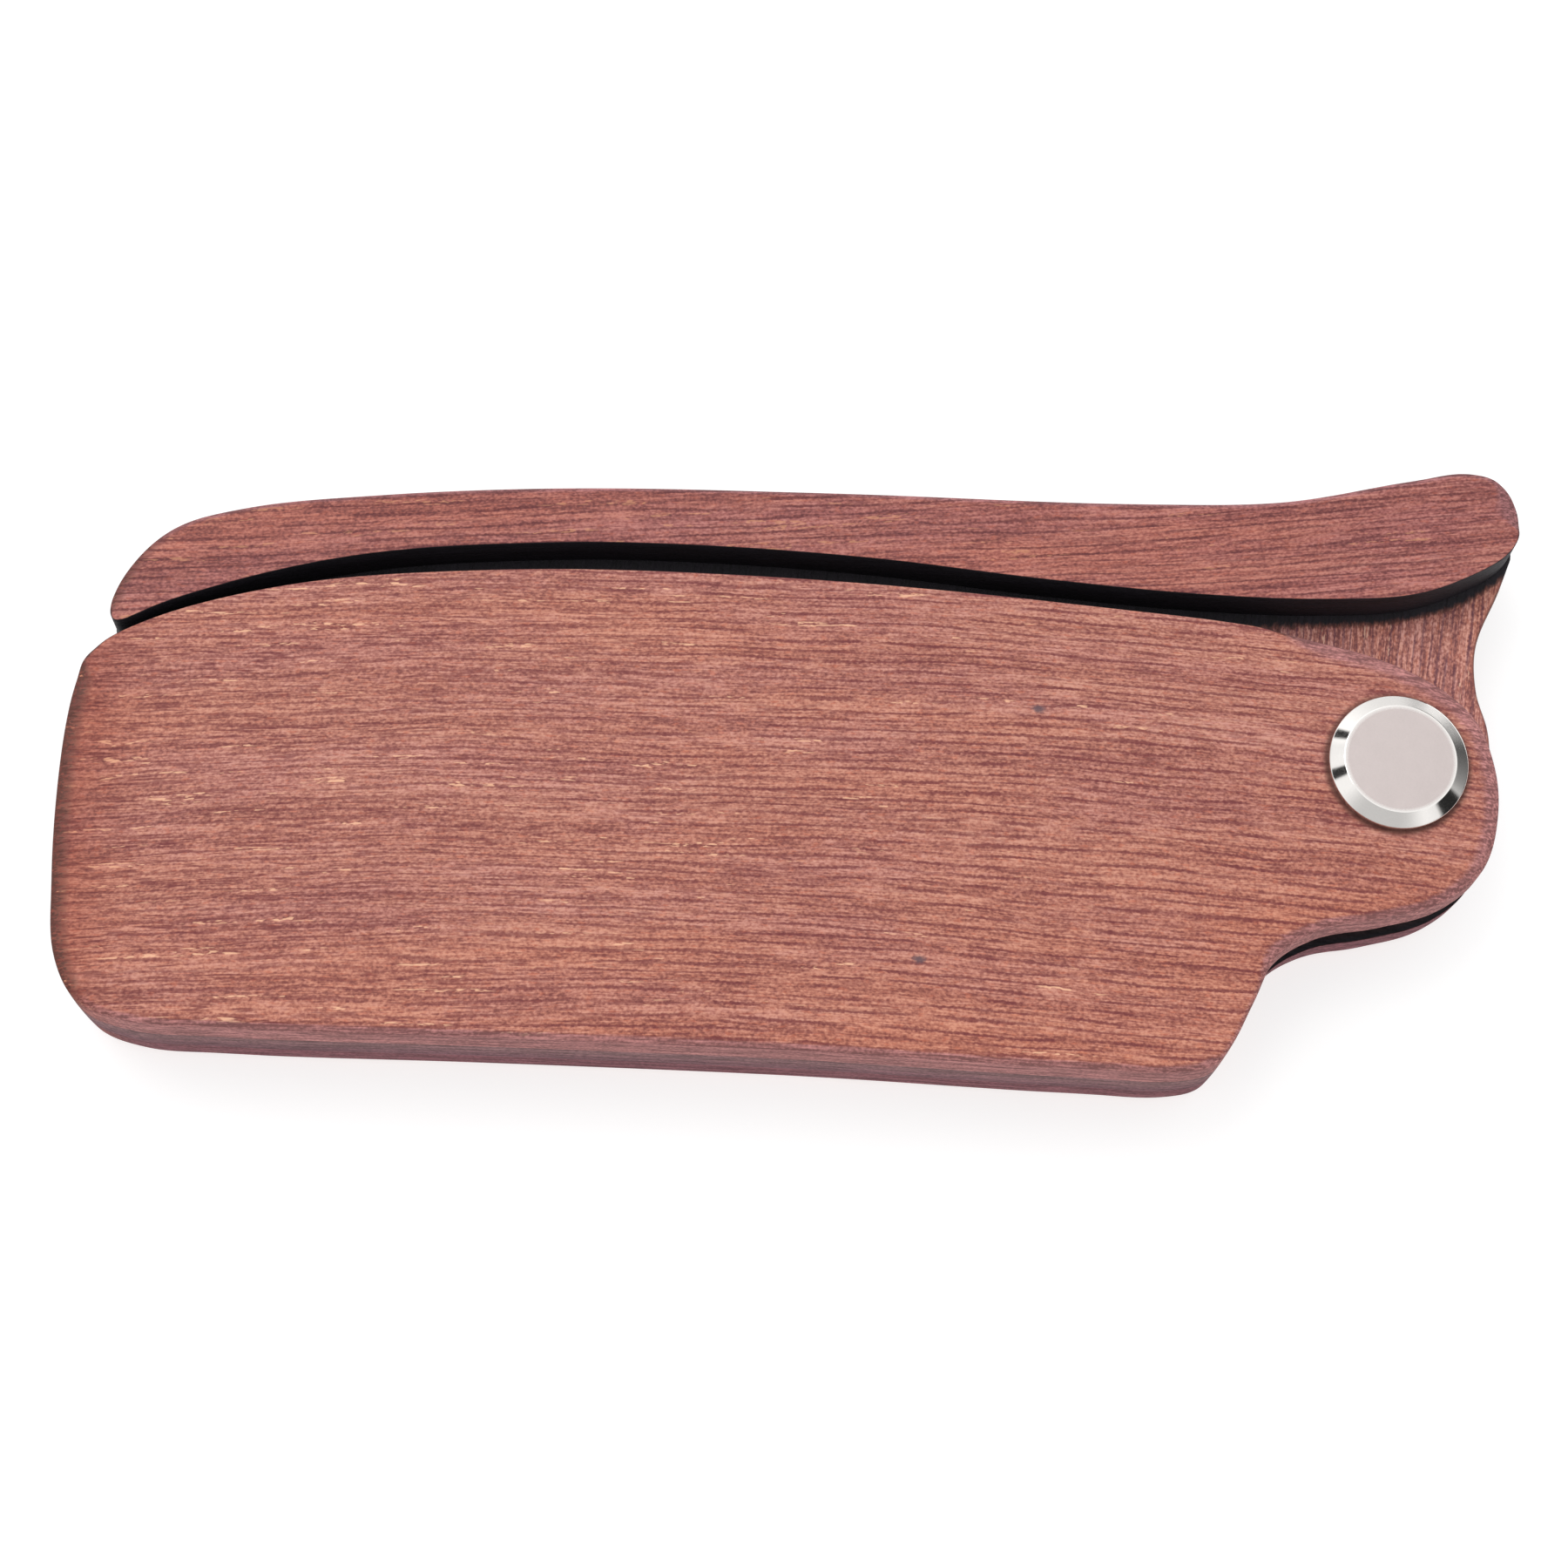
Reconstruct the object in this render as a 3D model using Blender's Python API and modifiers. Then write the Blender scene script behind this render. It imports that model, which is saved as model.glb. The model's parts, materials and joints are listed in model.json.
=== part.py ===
"""Folding pocket comb: a toothed wooden comb that swings out of a two-plate wooden handle on a round rivet.

The comb is closed and lies on its back. X runs along the handle to the rivet's end, Y runs across it to the
comb's spine, Z points out of the front face. The origin is under the middle of the folded comb's box.
"""

import math
from collections import namedtuple

import bmesh
import bpy
from mathutils import Vector
from mathutils.geometry import interpolate_bezier

MM = 0.001

# Overall thickness of the wood, and how it is shared between the layers
BODY_THICK = 9.0 * MM
PLATE_THICK = 3.0 * MM
BLADE_THICK = 2.2 * MM
GLUE_GAP = 0.1 * MM

# Rivet
CAP_RADIUS = 5.0 * MM
CAP_FLAT_RADIUS = 4.02 * MM
CAP_RISE = 1.2 * MM
CAP_EDGE = 0.3 * MM
CAP_SEAT_GAP = 0.1 * MM
SHANK_RADIUS = 2.2 * MM
BORE_RADIUS = 2.5 * MM
RIVET_SIDES = 48

# Rounded outer rims of the plates and strips
ROUND_OVER = 0.75 * MM
ROUND_STEPS = 4
SHARP_ANGLE = math.radians(35)

# Levels of the layers, counted from the flat end of the back cap
BACK_FACE = CAP_RISE
FRONT_FACE = BACK_FACE + BODY_THICK
MID_LEVEL = BACK_FACE + BODY_THICK / 2
STRIP_THICK = (BODY_THICK - BLADE_THICK) / 2 - GLUE_GAP
SPACER_THICK = BODY_THICK - 2 * PLATE_THICK - 2 * GLUE_GAP

# The rivet's axis, from the middle of the folded comb's box
PIVOT = Vector((42.88 * MM, 0.22 * MM, 0.0))

# Teeth
TOOTH_COUNT = 36
TOOTH_PITCH = 2.0
TOOTH_ROOT_WIDTH = 1.2
TOOTH_TIP_WIDTH = 0.8
FIRST_TOOTH_X = -17.6
TIP_Y = -16.8
TIP_BOW = 1.8
ROOT_DROP = 5.0
TIP_ARC_STEPS = 4
ROOT_ARC_STEPS = 4

# The spacer's inner edge, below the teeth
SPACER_TOP_Y = -19.3

# How far the cut along a strip's lower edge runs past its ends, and how low its waste reaches
CUT_OVERRUN = 3.0
CUT_LOW_Y = -4.0

STEPS_PER_SPAN = 5

# Points closer than this are one point, and a vertex this near a level lies on it
MERGE_DISTANCE = 0.005 * MM

# Outline knots in millimetres from the rivet's axis. A corner knot breaks the curve, the others are smooth.
Knot = namedtuple("Knot", "x y corner", defaults=(False,))

PLATE_OUTLINE = (
    Knot(-94.65, 2.95, True),
    Knot(-92.70, 4.85),
    Knot(-82.40, 9.00),
    Knot(-66.00, 11.45),
    Knot(-46.00, 12.05),
    Knot(-22.00, 11.05),
    Knot(-6.30, 9.55),
    Knot(1.60, 7.30),
    Knot(5.80, 4.20),
    Knot(7.25, 0.70),
    Knot(7.48, -3.10),
    Knot(6.25, -7.40),
    Knot(3.30, -10.00),
    Knot(-1.10, -11.48),
    Knot(-5.40, -12.50),
    Knot(-8.45, -14.50),
    Knot(-10.25, -18.10),
    Knot(-11.80, -21.25),
    Knot(-13.00, -22.70),
    Knot(-15.20, -23.35),
    Knot(-21.00, -23.45),
    Knot(-42.00, -23.18),
    Knot(-64.00, -23.35),
    Knot(-83.50, -23.62),
    Knot(-88.80, -23.42),
    Knot(-92.20, -22.20),
    Knot(-94.10, -19.20),
    Knot(-94.95, -13.80),
    Knot(-95.40, -5.60),
    Knot(-95.20, -0.30),
)

SPINE_EDGE = (
    Knot(-92.95, 5.35, True),
    Knot(-93.20, 7.10),
    Knot(-91.95, 10.45),
    Knot(-89.20, 13.50),
    Knot(-84.60, 15.27),
    Knot(-75.20, 16.87),
    Knot(-61.00, 18.27),
    Knot(-41.70, 18.97),
    Knot(-17.60, 19.44),
    Knot(-7.90, 20.17),
    Knot(1.80, 22.44),
    Knot(5.80, 23.20),
    Knot(8.40, 22.50),
    Knot(9.55, 20.30),
    Knot(9.55, 17.75, True),
)

# The strips' blank runs on below the edge that it is cut along
STRIP_BLANK_FOOT = (
    Knot(9.35, 9.50, True),
    Knot(-92.75, 1.00, True),
)

STRIP_LOWER_EDGE = (
    Knot(9.55, 17.75, True),
    Knot(8.30, 16.40),
    Knot(5.30, 14.60),
    Knot(1.70, 13.20),
    Knot(-4.50, 12.45),
    Knot(-14.00, 12.30),
    Knot(-25.50, 12.85),
    Knot(-38.30, 13.80),
    Knot(-51.00, 14.10),
    Knot(-61.20, 13.75),
    Knot(-76.30, 11.80),
    Knot(-88.50, 7.80),
    Knot(-92.95, 5.35, True),
)

# The blade's edge from the tail down the neck, round the rivet and along the heel to the first guard tooth
BLADE_NECK = (
    Knot(9.55, 17.75, True),
    Knot(8.65, 15.20),
    Knot(6.80, 10.60),
    Knot(6.75, 7.10),
    Knot(7.55, 3.90),
    Knot(7.35, -0.60),
    Knot(5.60, -5.00),
    Knot(1.60, -7.30),
    Knot(-3.40, -6.80),
    Knot(-7.80, -6.20),
    Knot(-10.90, -8.40),
    Knot(-12.20, -13.20),
    Knot(-13.10, -15.30),
    Knot(-14.80, -15.80),
    Knot(-15.90, -14.60, True),
)

END_GUARD = (
    Knot(-89.20, -13.40, True),
    Knot(-90.10, -14.80),
    Knot(-91.50, -14.20),
    Knot(-92.60, -5.00),
    Knot(-92.95, 5.35, True),
)


def bezier_handles(knots, index, closed):
    """Gives the incoming and outgoing handle of one knot, each a third of the way to its neighbour."""
    here = Vector(knots[index][:2])
    last = len(knots) - 1
    before = Vector(knots[index - 1][:2]) if closed or index > 0 else here
    after = Vector(knots[(index + 1) % len(knots)][:2]) if closed or index < last else here
    into = (here - before).length / 3
    out_of = (after - here).length / 3
    if knots[index].corner:
        return here.lerp(before, 1 / 3), here.lerp(after, 1 / 3)
    flow = ((here - before).normalized() + (after - here).normalized()).normalized()
    return here - flow * into, here + flow * out_of


def smooth_path(knots, closed=False):
    """Samples the smooth curve through the knots. An open path keeps both ends, a closed one has no repeat."""
    points = []
    spans = len(knots) if closed else len(knots) - 1
    for index in range(spans):
        following = (index + 1) % len(knots)
        leave = bezier_handles(knots, index, closed)[1]
        arrive = bezier_handles(knots, following, closed)[0]
        start = Vector(knots[index][:2])
        end = Vector(knots[following][:2])
        samples = interpolate_bezier(start, leave, arrive, end, STEPS_PER_SPAN + 1)
        points.extend(Vector(p[:2]) for p in samples[:-1])
    if not closed:
        points.append(Vector(knots[-1][:2]))
    return points


def height_on_path(path, x):
    """Reads the height of a path at x, where it runs from right to left."""
    for right, left in zip(path, path[1:]):
        if left.x <= x <= right.x:
            return right.y + (left.y - right.y) * (right.x - x) / (right.x - left.x)
    raise ValueError(f"the path doesn't reach x = {x}")


def arc(centre, radius, start, end, steps):
    """Samples an arc about a centre, both ends included, with angles in degrees."""
    points = []
    for step in range(steps + 1):
        angle = math.radians(start + (end - start) * step / steps)
        points.append(centre + radius * Vector((math.cos(angle), math.sin(angle))))
    return points


def teeth_path(lower_edge):
    """Runs under the blade from right to left: down and up each tooth, with a round root between two."""
    points = []
    middle = FIRST_TOOTH_X - TOOTH_PITCH * (TOOTH_COUNT - 1) / 2
    half_span = TOOTH_PITCH * (TOOTH_COUNT - 1) / 2
    gap_radius = (TOOTH_PITCH - TOOTH_ROOT_WIDTH) / 2
    tip_radius = TOOTH_TIP_WIDTH / 2
    for number in range(TOOTH_COUNT + 1):
        x = FIRST_TOOTH_X - TOOTH_PITCH * number
        gap_x = x + TOOTH_PITCH / 2
        root = Vector((gap_x, height_on_path(lower_edge, gap_x) - ROOT_DROP - gap_radius))
        points.extend(arc(root, gap_radius, 0, 180, ROOT_ARC_STEPS))
        if number < TOOTH_COUNT:
            tip_y = TIP_Y + TIP_BOW * ((x - middle) / half_span) ** 2
            points.extend(arc(Vector((x, tip_y + tip_radius)), tip_radius, 0, -180, TIP_ARC_STEPS))
    return points


def spacer_outline(plate):
    """Keeps the plate's outline below the spacer's inner edge, closed by that straight edge."""
    points = []
    for here, after in zip(plate, plate[1:] + plate[:1]):
        if here.y < SPACER_TOP_Y:
            points.append(here)
        if (here.y < SPACER_TOP_Y) != (after.y < SPACER_TOP_Y):
            share = (SPACER_TOP_Y - here.y) / (after.y - here.y)
            points.append(here.lerp(after, share))
    return points


def mark_rim(mesh, level):
    """Marks the rim edges at one level for the bevel."""
    shape = bmesh.new()
    shape.from_mesh(mesh)
    layer = shape.edges.layers.float.new("bevel_weight_edge")
    for edge in shape.edges:
        if all(abs(v.co.z - level) < MERGE_DISTANCE for v in edge.verts):
            edge[layer] = 1.0
    shape.to_mesh(mesh)
    shape.free()


def make_material(name, colour, roughness, metallic=0.0):
    """Makes a Principled material."""
    material = bpy.data.materials.new(name)
    material.use_nodes = True
    shader = material.node_tree.nodes["Principled BSDF"]
    shader.inputs["Base Color"].default_value = (*colour, 1.0)
    shader.inputs["Roughness"].default_value = roughness
    shader.inputs["Metallic"].default_value = metallic
    return material


def flat_solid(name, outline, thickness, middle_z, material, collection):
    """Extrudes a closed outline, in millimetres about the rivet's axis, into a plate centred on a level."""
    curve = bpy.data.curves.new(name + "_outline", "CURVE")
    curve.dimensions = "2D"
    curve.fill_mode = "BOTH"
    curve.extrude = thickness / 2
    spline = curve.splines.new("POLY")
    spline.points.add(len(outline) - 1)
    for target, point in zip(spline.points, outline):
        target.co = (point.x * MM, point.y * MM, 0.0, 1.0)
    spline.use_cyclic_u = True
    guide = bpy.data.objects.new(name + "_outline", curve)
    collection.objects.link(guide)
    guide.location = PIVOT + Vector((0.0, 0.0, middle_z))
    bpy.context.view_layer.update()

    evaluated = guide.evaluated_get(bpy.context.evaluated_depsgraph_get())
    mesh = bpy.data.meshes.new_from_object(evaluated)
    mesh.name = name
    shape = bmesh.new()
    shape.from_mesh(mesh)
    bmesh.ops.remove_doubles(shape, verts=shape.verts, dist=MERGE_DISTANCE)
    for level in (thickness / 2, -thickness / 2):
        cap = [f for f in shape.faces if all(abs(v.co.z - level) < MERGE_DISTANCE for v in f.verts)]
        bmesh.ops.dissolve_faces(shape, faces=cap)
    bmesh.ops.recalc_face_normals(shape, faces=shape.faces)
    shape.to_mesh(mesh)
    shape.free()

    solid = bpy.data.objects.new(name, mesh)
    solid.matrix_world = guide.matrix_world
    bpy.data.objects.remove(guide)
    bpy.data.curves.remove(curve)
    mesh.materials.clear()
    if material:
        mesh.materials.append(material)
    collection.objects.link(solid)
    return solid


def round_rim(solid, level):
    """Rounds the rim of a plate over at one level."""
    mark_rim(solid.data, level)
    bevel = solid.modifiers.new("round_over", "BEVEL")
    bevel.limit_method = "WEIGHT"
    bevel.width = ROUND_OVER
    bevel.segments = ROUND_STEPS
    bevel.use_clamp_overlap = False
    solid.data.shade_smooth()
    solid.data.set_sharp_from_angle(angle=SHARP_ANGLE)


def hide_cutter(cutter):
    """Shows a cutter as a wire only."""
    cutter.hide_render = True
    cutter.display_type = "WIRE"


def make_bore_cutter(collection):
    """Makes the cylinder that drills the plates and the blade."""
    bpy.ops.mesh.primitive_cylinder_add(
        vertices=RIVET_SIDES,
        radius=BORE_RADIUS,
        depth=BODY_THICK * 2,
        end_fill_type="NGON",
        location=PIVOT + Vector((0.0, 0.0, MID_LEVEL)),
    )
    cutter = bpy.context.object
    cutter.name = "bore_cutter"
    for holder in cutter.users_collection:
        holder.objects.unlink(cutter)
    collection.objects.link(cutter)
    hide_cutter(cutter)
    return cutter


def cut_away(solid, cutter):
    """Cuts a cutter's shape out of a piece."""
    cut = solid.modifiers.new(cutter.name, "BOOLEAN")
    cut.operation = "DIFFERENCE"
    cut.object = cutter


def make_rivet(material, collection):
    """Turns the rivet: a chamfered cap at the front and back, joined by the shank."""
    top = FRONT_FACE + CAP_RISE
    profile = (
        (0.0, top),
        (CAP_FLAT_RADIUS, top),
        (CAP_RADIUS, FRONT_FACE + CAP_EDGE),
        (CAP_RADIUS, FRONT_FACE + CAP_SEAT_GAP),
        (SHANK_RADIUS, FRONT_FACE + CAP_SEAT_GAP),
        (SHANK_RADIUS, BACK_FACE - CAP_SEAT_GAP),
        (CAP_RADIUS, BACK_FACE - CAP_SEAT_GAP),
        (CAP_RADIUS, BACK_FACE - CAP_EDGE),
        (CAP_FLAT_RADIUS, 0.0),
        (0.0, 0.0),
    )
    mesh = bpy.data.meshes.new("rivet")
    edges = [(index, index + 1) for index in range(len(profile) - 1)]
    mesh.from_pydata([(radius, 0.0, z) for radius, z in profile], edges, [])
    mesh.materials.append(material)
    rivet = bpy.data.objects.new("rivet", mesh)
    rivet.location = PIVOT
    collection.objects.link(rivet)
    screw = rivet.modifiers.new("turn", "SCREW")
    screw.steps = RIVET_SIDES
    screw.render_steps = RIVET_SIDES
    screw.use_merge_vertices = True
    screw.merge_threshold = MERGE_DISTANCE
    screw.use_smooth_shade = False
    return rivet


def make_plates(material, collection, bore):
    """Makes the handle's two plates, the same outline with the rounded rim on the outer side of each."""
    outline = smooth_path(PLATE_OUTLINE, closed=True)
    half = PLATE_THICK / 2
    plates = []
    for name, middle, rim_level in (
        ("front_plate", FRONT_FACE - half, half),
        ("back_plate", BACK_FACE + half, -half),
    ):
        plate = flat_solid(name, outline, PLATE_THICK, middle, material, collection)
        round_rim(plate, rim_level)
        cut_away(plate, bore)
        plates.append(plate)
    return plates


def make_spacer(material, collection):
    """Makes the strip that holds the two plates apart along the handle's straight edge."""
    outline = spacer_outline(smooth_path(PLATE_OUTLINE, closed=True))
    return flat_solid("spacer", outline, SPACER_THICK, MID_LEVEL, material, collection)


def make_strip_cutter(collection):
    """Makes the cutter whose upper side is the strips' lower edge, run on past both ends."""
    lower = smooth_path(STRIP_LOWER_EDGE)
    start = lower[0] + (lower[0] - lower[1]).normalized() * CUT_OVERRUN
    end = lower[-1] + (lower[-1] - lower[-2]).normalized() * CUT_OVERRUN
    waste = [Vector((end.x, CUT_LOW_Y)), Vector((start.x, CUT_LOW_Y))]
    outline = [start, *lower, end, *waste]
    cutter = flat_solid("strip_cutter", outline, BODY_THICK * 2, MID_LEVEL, None, collection)
    hide_cutter(cutter)
    return cutter


def make_strips(material, collection, cutter):
    """Makes the spine's front and back strips: a blank rounded all round, then cut along its lower edge."""
    outline = smooth_path(SPINE_EDGE) + [Vector(knot[:2]) for knot in STRIP_BLANK_FOOT]
    half = STRIP_THICK / 2
    strips = []
    for name, middle, rim_level in (
        ("front_strip", FRONT_FACE - half, half),
        ("back_strip", BACK_FACE + half, -half),
    ):
        strip = flat_solid(name, outline, STRIP_THICK, middle, material, collection)
        round_rim(strip, rim_level)
        cut_away(strip, cutter)
        strips.append(strip)
    return strips


def make_blade(material, collection, bore):
    """Makes the comb's middle layer: spine, neck, round end about the rivet, guard teeth and teeth."""
    lower = smooth_path(STRIP_LOWER_EDGE)
    outline = smooth_path(SPINE_EDGE)[:-1]
    outline += smooth_path(BLADE_NECK)
    outline += teeth_path(lower)
    outline += smooth_path(END_GUARD)[:-1]
    blade = flat_solid("comb_blade", outline, BLADE_THICK, MID_LEVEL, material, collection)
    cut_away(blade, bore)
    return blade


def make_pivot(name, collection):
    """Makes an empty on the rivet's axis for the pieces that turn together."""
    pivot = bpy.data.objects.new(name, None)
    pivot.location = PIVOT
    pivot.empty_display_size = CAP_RADIUS
    collection.objects.link(pivot)
    return pivot


def hang_on(pivot, pieces):
    """Parents pieces to an empty where they stand."""
    bpy.context.view_layer.update()
    for piece in pieces:
        piece.parent = pivot
        piece.matrix_parent_inverse = pivot.matrix_world.inverted()


def main():
    for thing in list(bpy.data.objects):
        bpy.data.objects.remove(thing, do_unlink=True)

    parts = bpy.data.collections.new("folding_comb")
    cutters = bpy.data.collections.new("cutters")
    for collection in (parts, cutters):
        bpy.context.scene.collection.children.link(collection)

    plate_wood = make_material("plate_wood", (0.420, 0.175, 0.140), 0.62)
    strip_wood = make_material("strip_wood", (0.350, 0.135, 0.110), 0.62)
    blade_wood = make_material("blade_wood", (0.365, 0.152, 0.128), 0.66)
    spacer_wood = make_material("spacer_wood", (0.275, 0.130, 0.120), 0.70)
    rivet_metal = make_material("rivet_metal", (0.660, 0.610, 0.590), 0.28, 1.0)

    bore = make_bore_cutter(cutters)
    handle_pieces = make_plates(plate_wood, parts, bore)
    handle_pieces.append(make_spacer(spacer_wood, parts))
    handle_pieces.append(make_rivet(rivet_metal, parts))
    comb_pieces = make_strips(strip_wood, parts, make_strip_cutter(cutters))
    comb_pieces.append(make_blade(blade_wood, parts, bore))

    hang_on(make_pivot("handle_base", parts), handle_pieces)
    hang_on(make_pivot("comb_pivot", parts), comb_pieces)


main()
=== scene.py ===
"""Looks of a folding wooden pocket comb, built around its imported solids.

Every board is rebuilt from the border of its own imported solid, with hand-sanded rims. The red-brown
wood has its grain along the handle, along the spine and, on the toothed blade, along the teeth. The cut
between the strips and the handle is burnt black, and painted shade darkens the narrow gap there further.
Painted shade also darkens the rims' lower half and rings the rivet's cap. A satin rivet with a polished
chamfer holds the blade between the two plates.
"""

import json
import logging
import math
from dataclasses import dataclass, replace
from enum import Enum
from typing import Any, Callable, ClassVar, Iterator, Sequence

import bmesh
import bpy
from mathutils import Matrix, Vector
from mathutils.geometry import interpolate_bezier


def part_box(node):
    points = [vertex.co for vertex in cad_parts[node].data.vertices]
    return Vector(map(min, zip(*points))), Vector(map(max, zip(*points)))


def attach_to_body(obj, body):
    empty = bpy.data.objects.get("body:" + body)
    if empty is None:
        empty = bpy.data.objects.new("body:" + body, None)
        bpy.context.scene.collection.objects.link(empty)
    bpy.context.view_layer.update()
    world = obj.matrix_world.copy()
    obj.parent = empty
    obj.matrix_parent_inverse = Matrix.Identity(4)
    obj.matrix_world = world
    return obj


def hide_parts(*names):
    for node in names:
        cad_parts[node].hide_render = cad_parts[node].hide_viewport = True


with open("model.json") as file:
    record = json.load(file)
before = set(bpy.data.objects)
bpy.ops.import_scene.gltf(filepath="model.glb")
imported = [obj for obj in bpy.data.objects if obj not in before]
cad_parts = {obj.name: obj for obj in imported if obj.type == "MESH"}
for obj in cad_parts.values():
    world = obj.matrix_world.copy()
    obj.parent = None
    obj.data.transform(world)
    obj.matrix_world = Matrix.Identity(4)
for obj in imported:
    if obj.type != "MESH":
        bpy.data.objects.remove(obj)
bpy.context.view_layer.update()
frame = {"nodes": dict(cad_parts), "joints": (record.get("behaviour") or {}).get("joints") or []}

LOG = logging.getLogger("folding_comb")

MM = 0.001
PER_MM = (1 / MM,) * 3

# Vertices closer than this are one vertex, and a vertex this near a level lies on it
WELD = 0.002 * MM
LEVEL_SLACK = 0.02 * MM

# A border that turns more than this at a point has a sharp corner there, and a rounded one has none
CORNER_DEGREES = 25.0
NO_CORNER_DEGREES = 180.0

Span = tuple[float, float]
Triple = tuple[float, float, float]
Colour = Triple
WHITE: Colour = (1.0, 1.0, 1.0)

# How sanded, burnt and scorched a point of a board is, and how polished one of the rivet is
WEAR_NAMES = ("sanded", "burnt", "scorch")
POLISH_NAME = "polish"
NO_WEAR: Triple = (0.0, 0.0, 0.0)
ALL_BURNT: Triple = (0.0, 1.0, 0.0)


class Body(Enum):
    """The bodies that the comb's pieces ride on."""

    HANDLE = "handle"
    COMB = "comb"


class Side(Enum):
    """Which face of the comb a board belongs to."""

    FRONT = "front"
    BACK = "back"


def linear(channel: int) -> float:
    """Turns one channel of a display colour, from 0 to 255, into linear light by the display's curve."""
    share = channel / 255
    return share / 12.92 if share <= 0.04045 else ((share + 0.055) / 1.055) ** 2.4


def tone(red: int, green: int, blue: int) -> Colour:
    """Turns a display colour, with 0 to 255 in each channel, into a linear one.

    Args:
        red: The red channel.
        green: The green channel.
        blue: The blue channel.

    Returns:
        The linear colour.
    """
    return linear(red), linear(green), linear(blue)


def ease(low: float, high: float, value: float) -> float:
    """Rises smoothly from 0 at low to 1 at high.

    Args:
        low: Where the rise starts. It may be above high, and then the rise is a fall.
        high: Where the rise ends.
        value: Where it is read.

    Returns:
        The share, from 0 to 1.
    """
    share = min(max((value - low) / (high - low), 0.0), 1.0)
    return share * share * (3 - 2 * share)


def ring_pairs(items: list[Any]) -> Iterator[tuple[Any, Any]]:
    """Pairs each item of a closed ring with the one after it."""
    return zip(items, items[1:] + items[:1])


def levels(node: str) -> Span:
    """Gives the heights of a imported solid's lowest and highest face."""
    low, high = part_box(node)
    return low.z, high.z


def direction(azimuth: float, elevation: float) -> Vector:
    """Gives the direction with this azimuth and elevation, both in degrees."""
    around, up = math.radians(azimuth), math.radians(elevation)
    return Vector((math.cos(around) * math.cos(up), math.sin(around) * math.cos(up), math.sin(up)))


class Signal:
    """A node's output that takes part in Python expressions. Each operator adds a Math node."""

    def __init__(self, sheet: "NodeSheet", socket: bpy.types.NodeSocket) -> None:
        """Keeps the sheet that the nodes go on and the output itself."""
        self.sheet = sheet
        self.socket = socket

    def _math(self, operation: str, *terms: "Signal | float") -> "Signal":
        """Adds a Math node with these terms."""
        return self.sheet.add("ShaderNodeMath", {"operation": operation}, dict(enumerate(terms)))

    def __add__(self, other: "Signal | float") -> "Signal":
        """Adds."""
        return self._math("ADD", self, other)

    __radd__ = __add__

    def __mul__(self, other: "Signal | float") -> "Signal":
        """Multiplies."""
        return self._math("MULTIPLY", self, other)

    __rmul__ = __mul__

    def __sub__(self, other: "Signal | float") -> "Signal":
        """Subtracts."""
        return self._math("SUBTRACT", self, other)

    def __rsub__(self, other: "Signal | float") -> "Signal":
        """Is subtracted from other."""
        return self._math("SUBTRACT", other, self)

    def __truediv__(self, other: "Signal | float") -> "Signal":
        """Divides."""
        return self._math("DIVIDE", self, other)

    def __rtruediv__(self, other: "Signal | float") -> "Signal":
        """Divides other."""
        return self._math("DIVIDE", other, self)

    def __pow__(self, other: "Signal | float") -> "Signal":
        """Raises to a power."""
        return self._math("POWER", self, other)

    def __abs__(self) -> "Signal":
        """Drops the sign."""
        return self._math("ABSOLUTE", self)

    def least(self, other: "Signal | float") -> "Signal":
        """Takes the smaller one."""
        return self._math("MINIMUM", self, other)

    def most(self, other: "Signal | float") -> "Signal":
        """Takes the larger one."""
        return self._math("MAXIMUM", self, other)

    def root(self) -> "Signal":
        """Takes the square root."""
        return self._math("SQRT", self)

    def squared(self) -> "Signal":
        """Multiplies by itself."""
        return self * self

    def floor(self) -> "Signal":
        """Rounds down to a whole number."""
        return self._math("FLOOR", self)

    def cosine(self) -> "Signal":
        """Takes the cosine."""
        return self._math("COSINE", self)

    def sine(self) -> "Signal":
        """Takes the sine."""
        return self._math("SINE", self)

    def swing(self, amount: float) -> "Signal":
        """Turns a noise about 0.5 into one about 0 that swings by this much."""
        return (self - 0.5) * amount

    def ease(self, low: float, high: float) -> "Signal":
        """Rises smoothly from 0 at low to 1 at high, or falls where low is above high."""
        span = {"Value": self, "From Min": low, "From Max": high}
        return self.sheet.add("ShaderNodeMapRange", {"interpolation_type": "SMOOTHSTEP"}, span)


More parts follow.
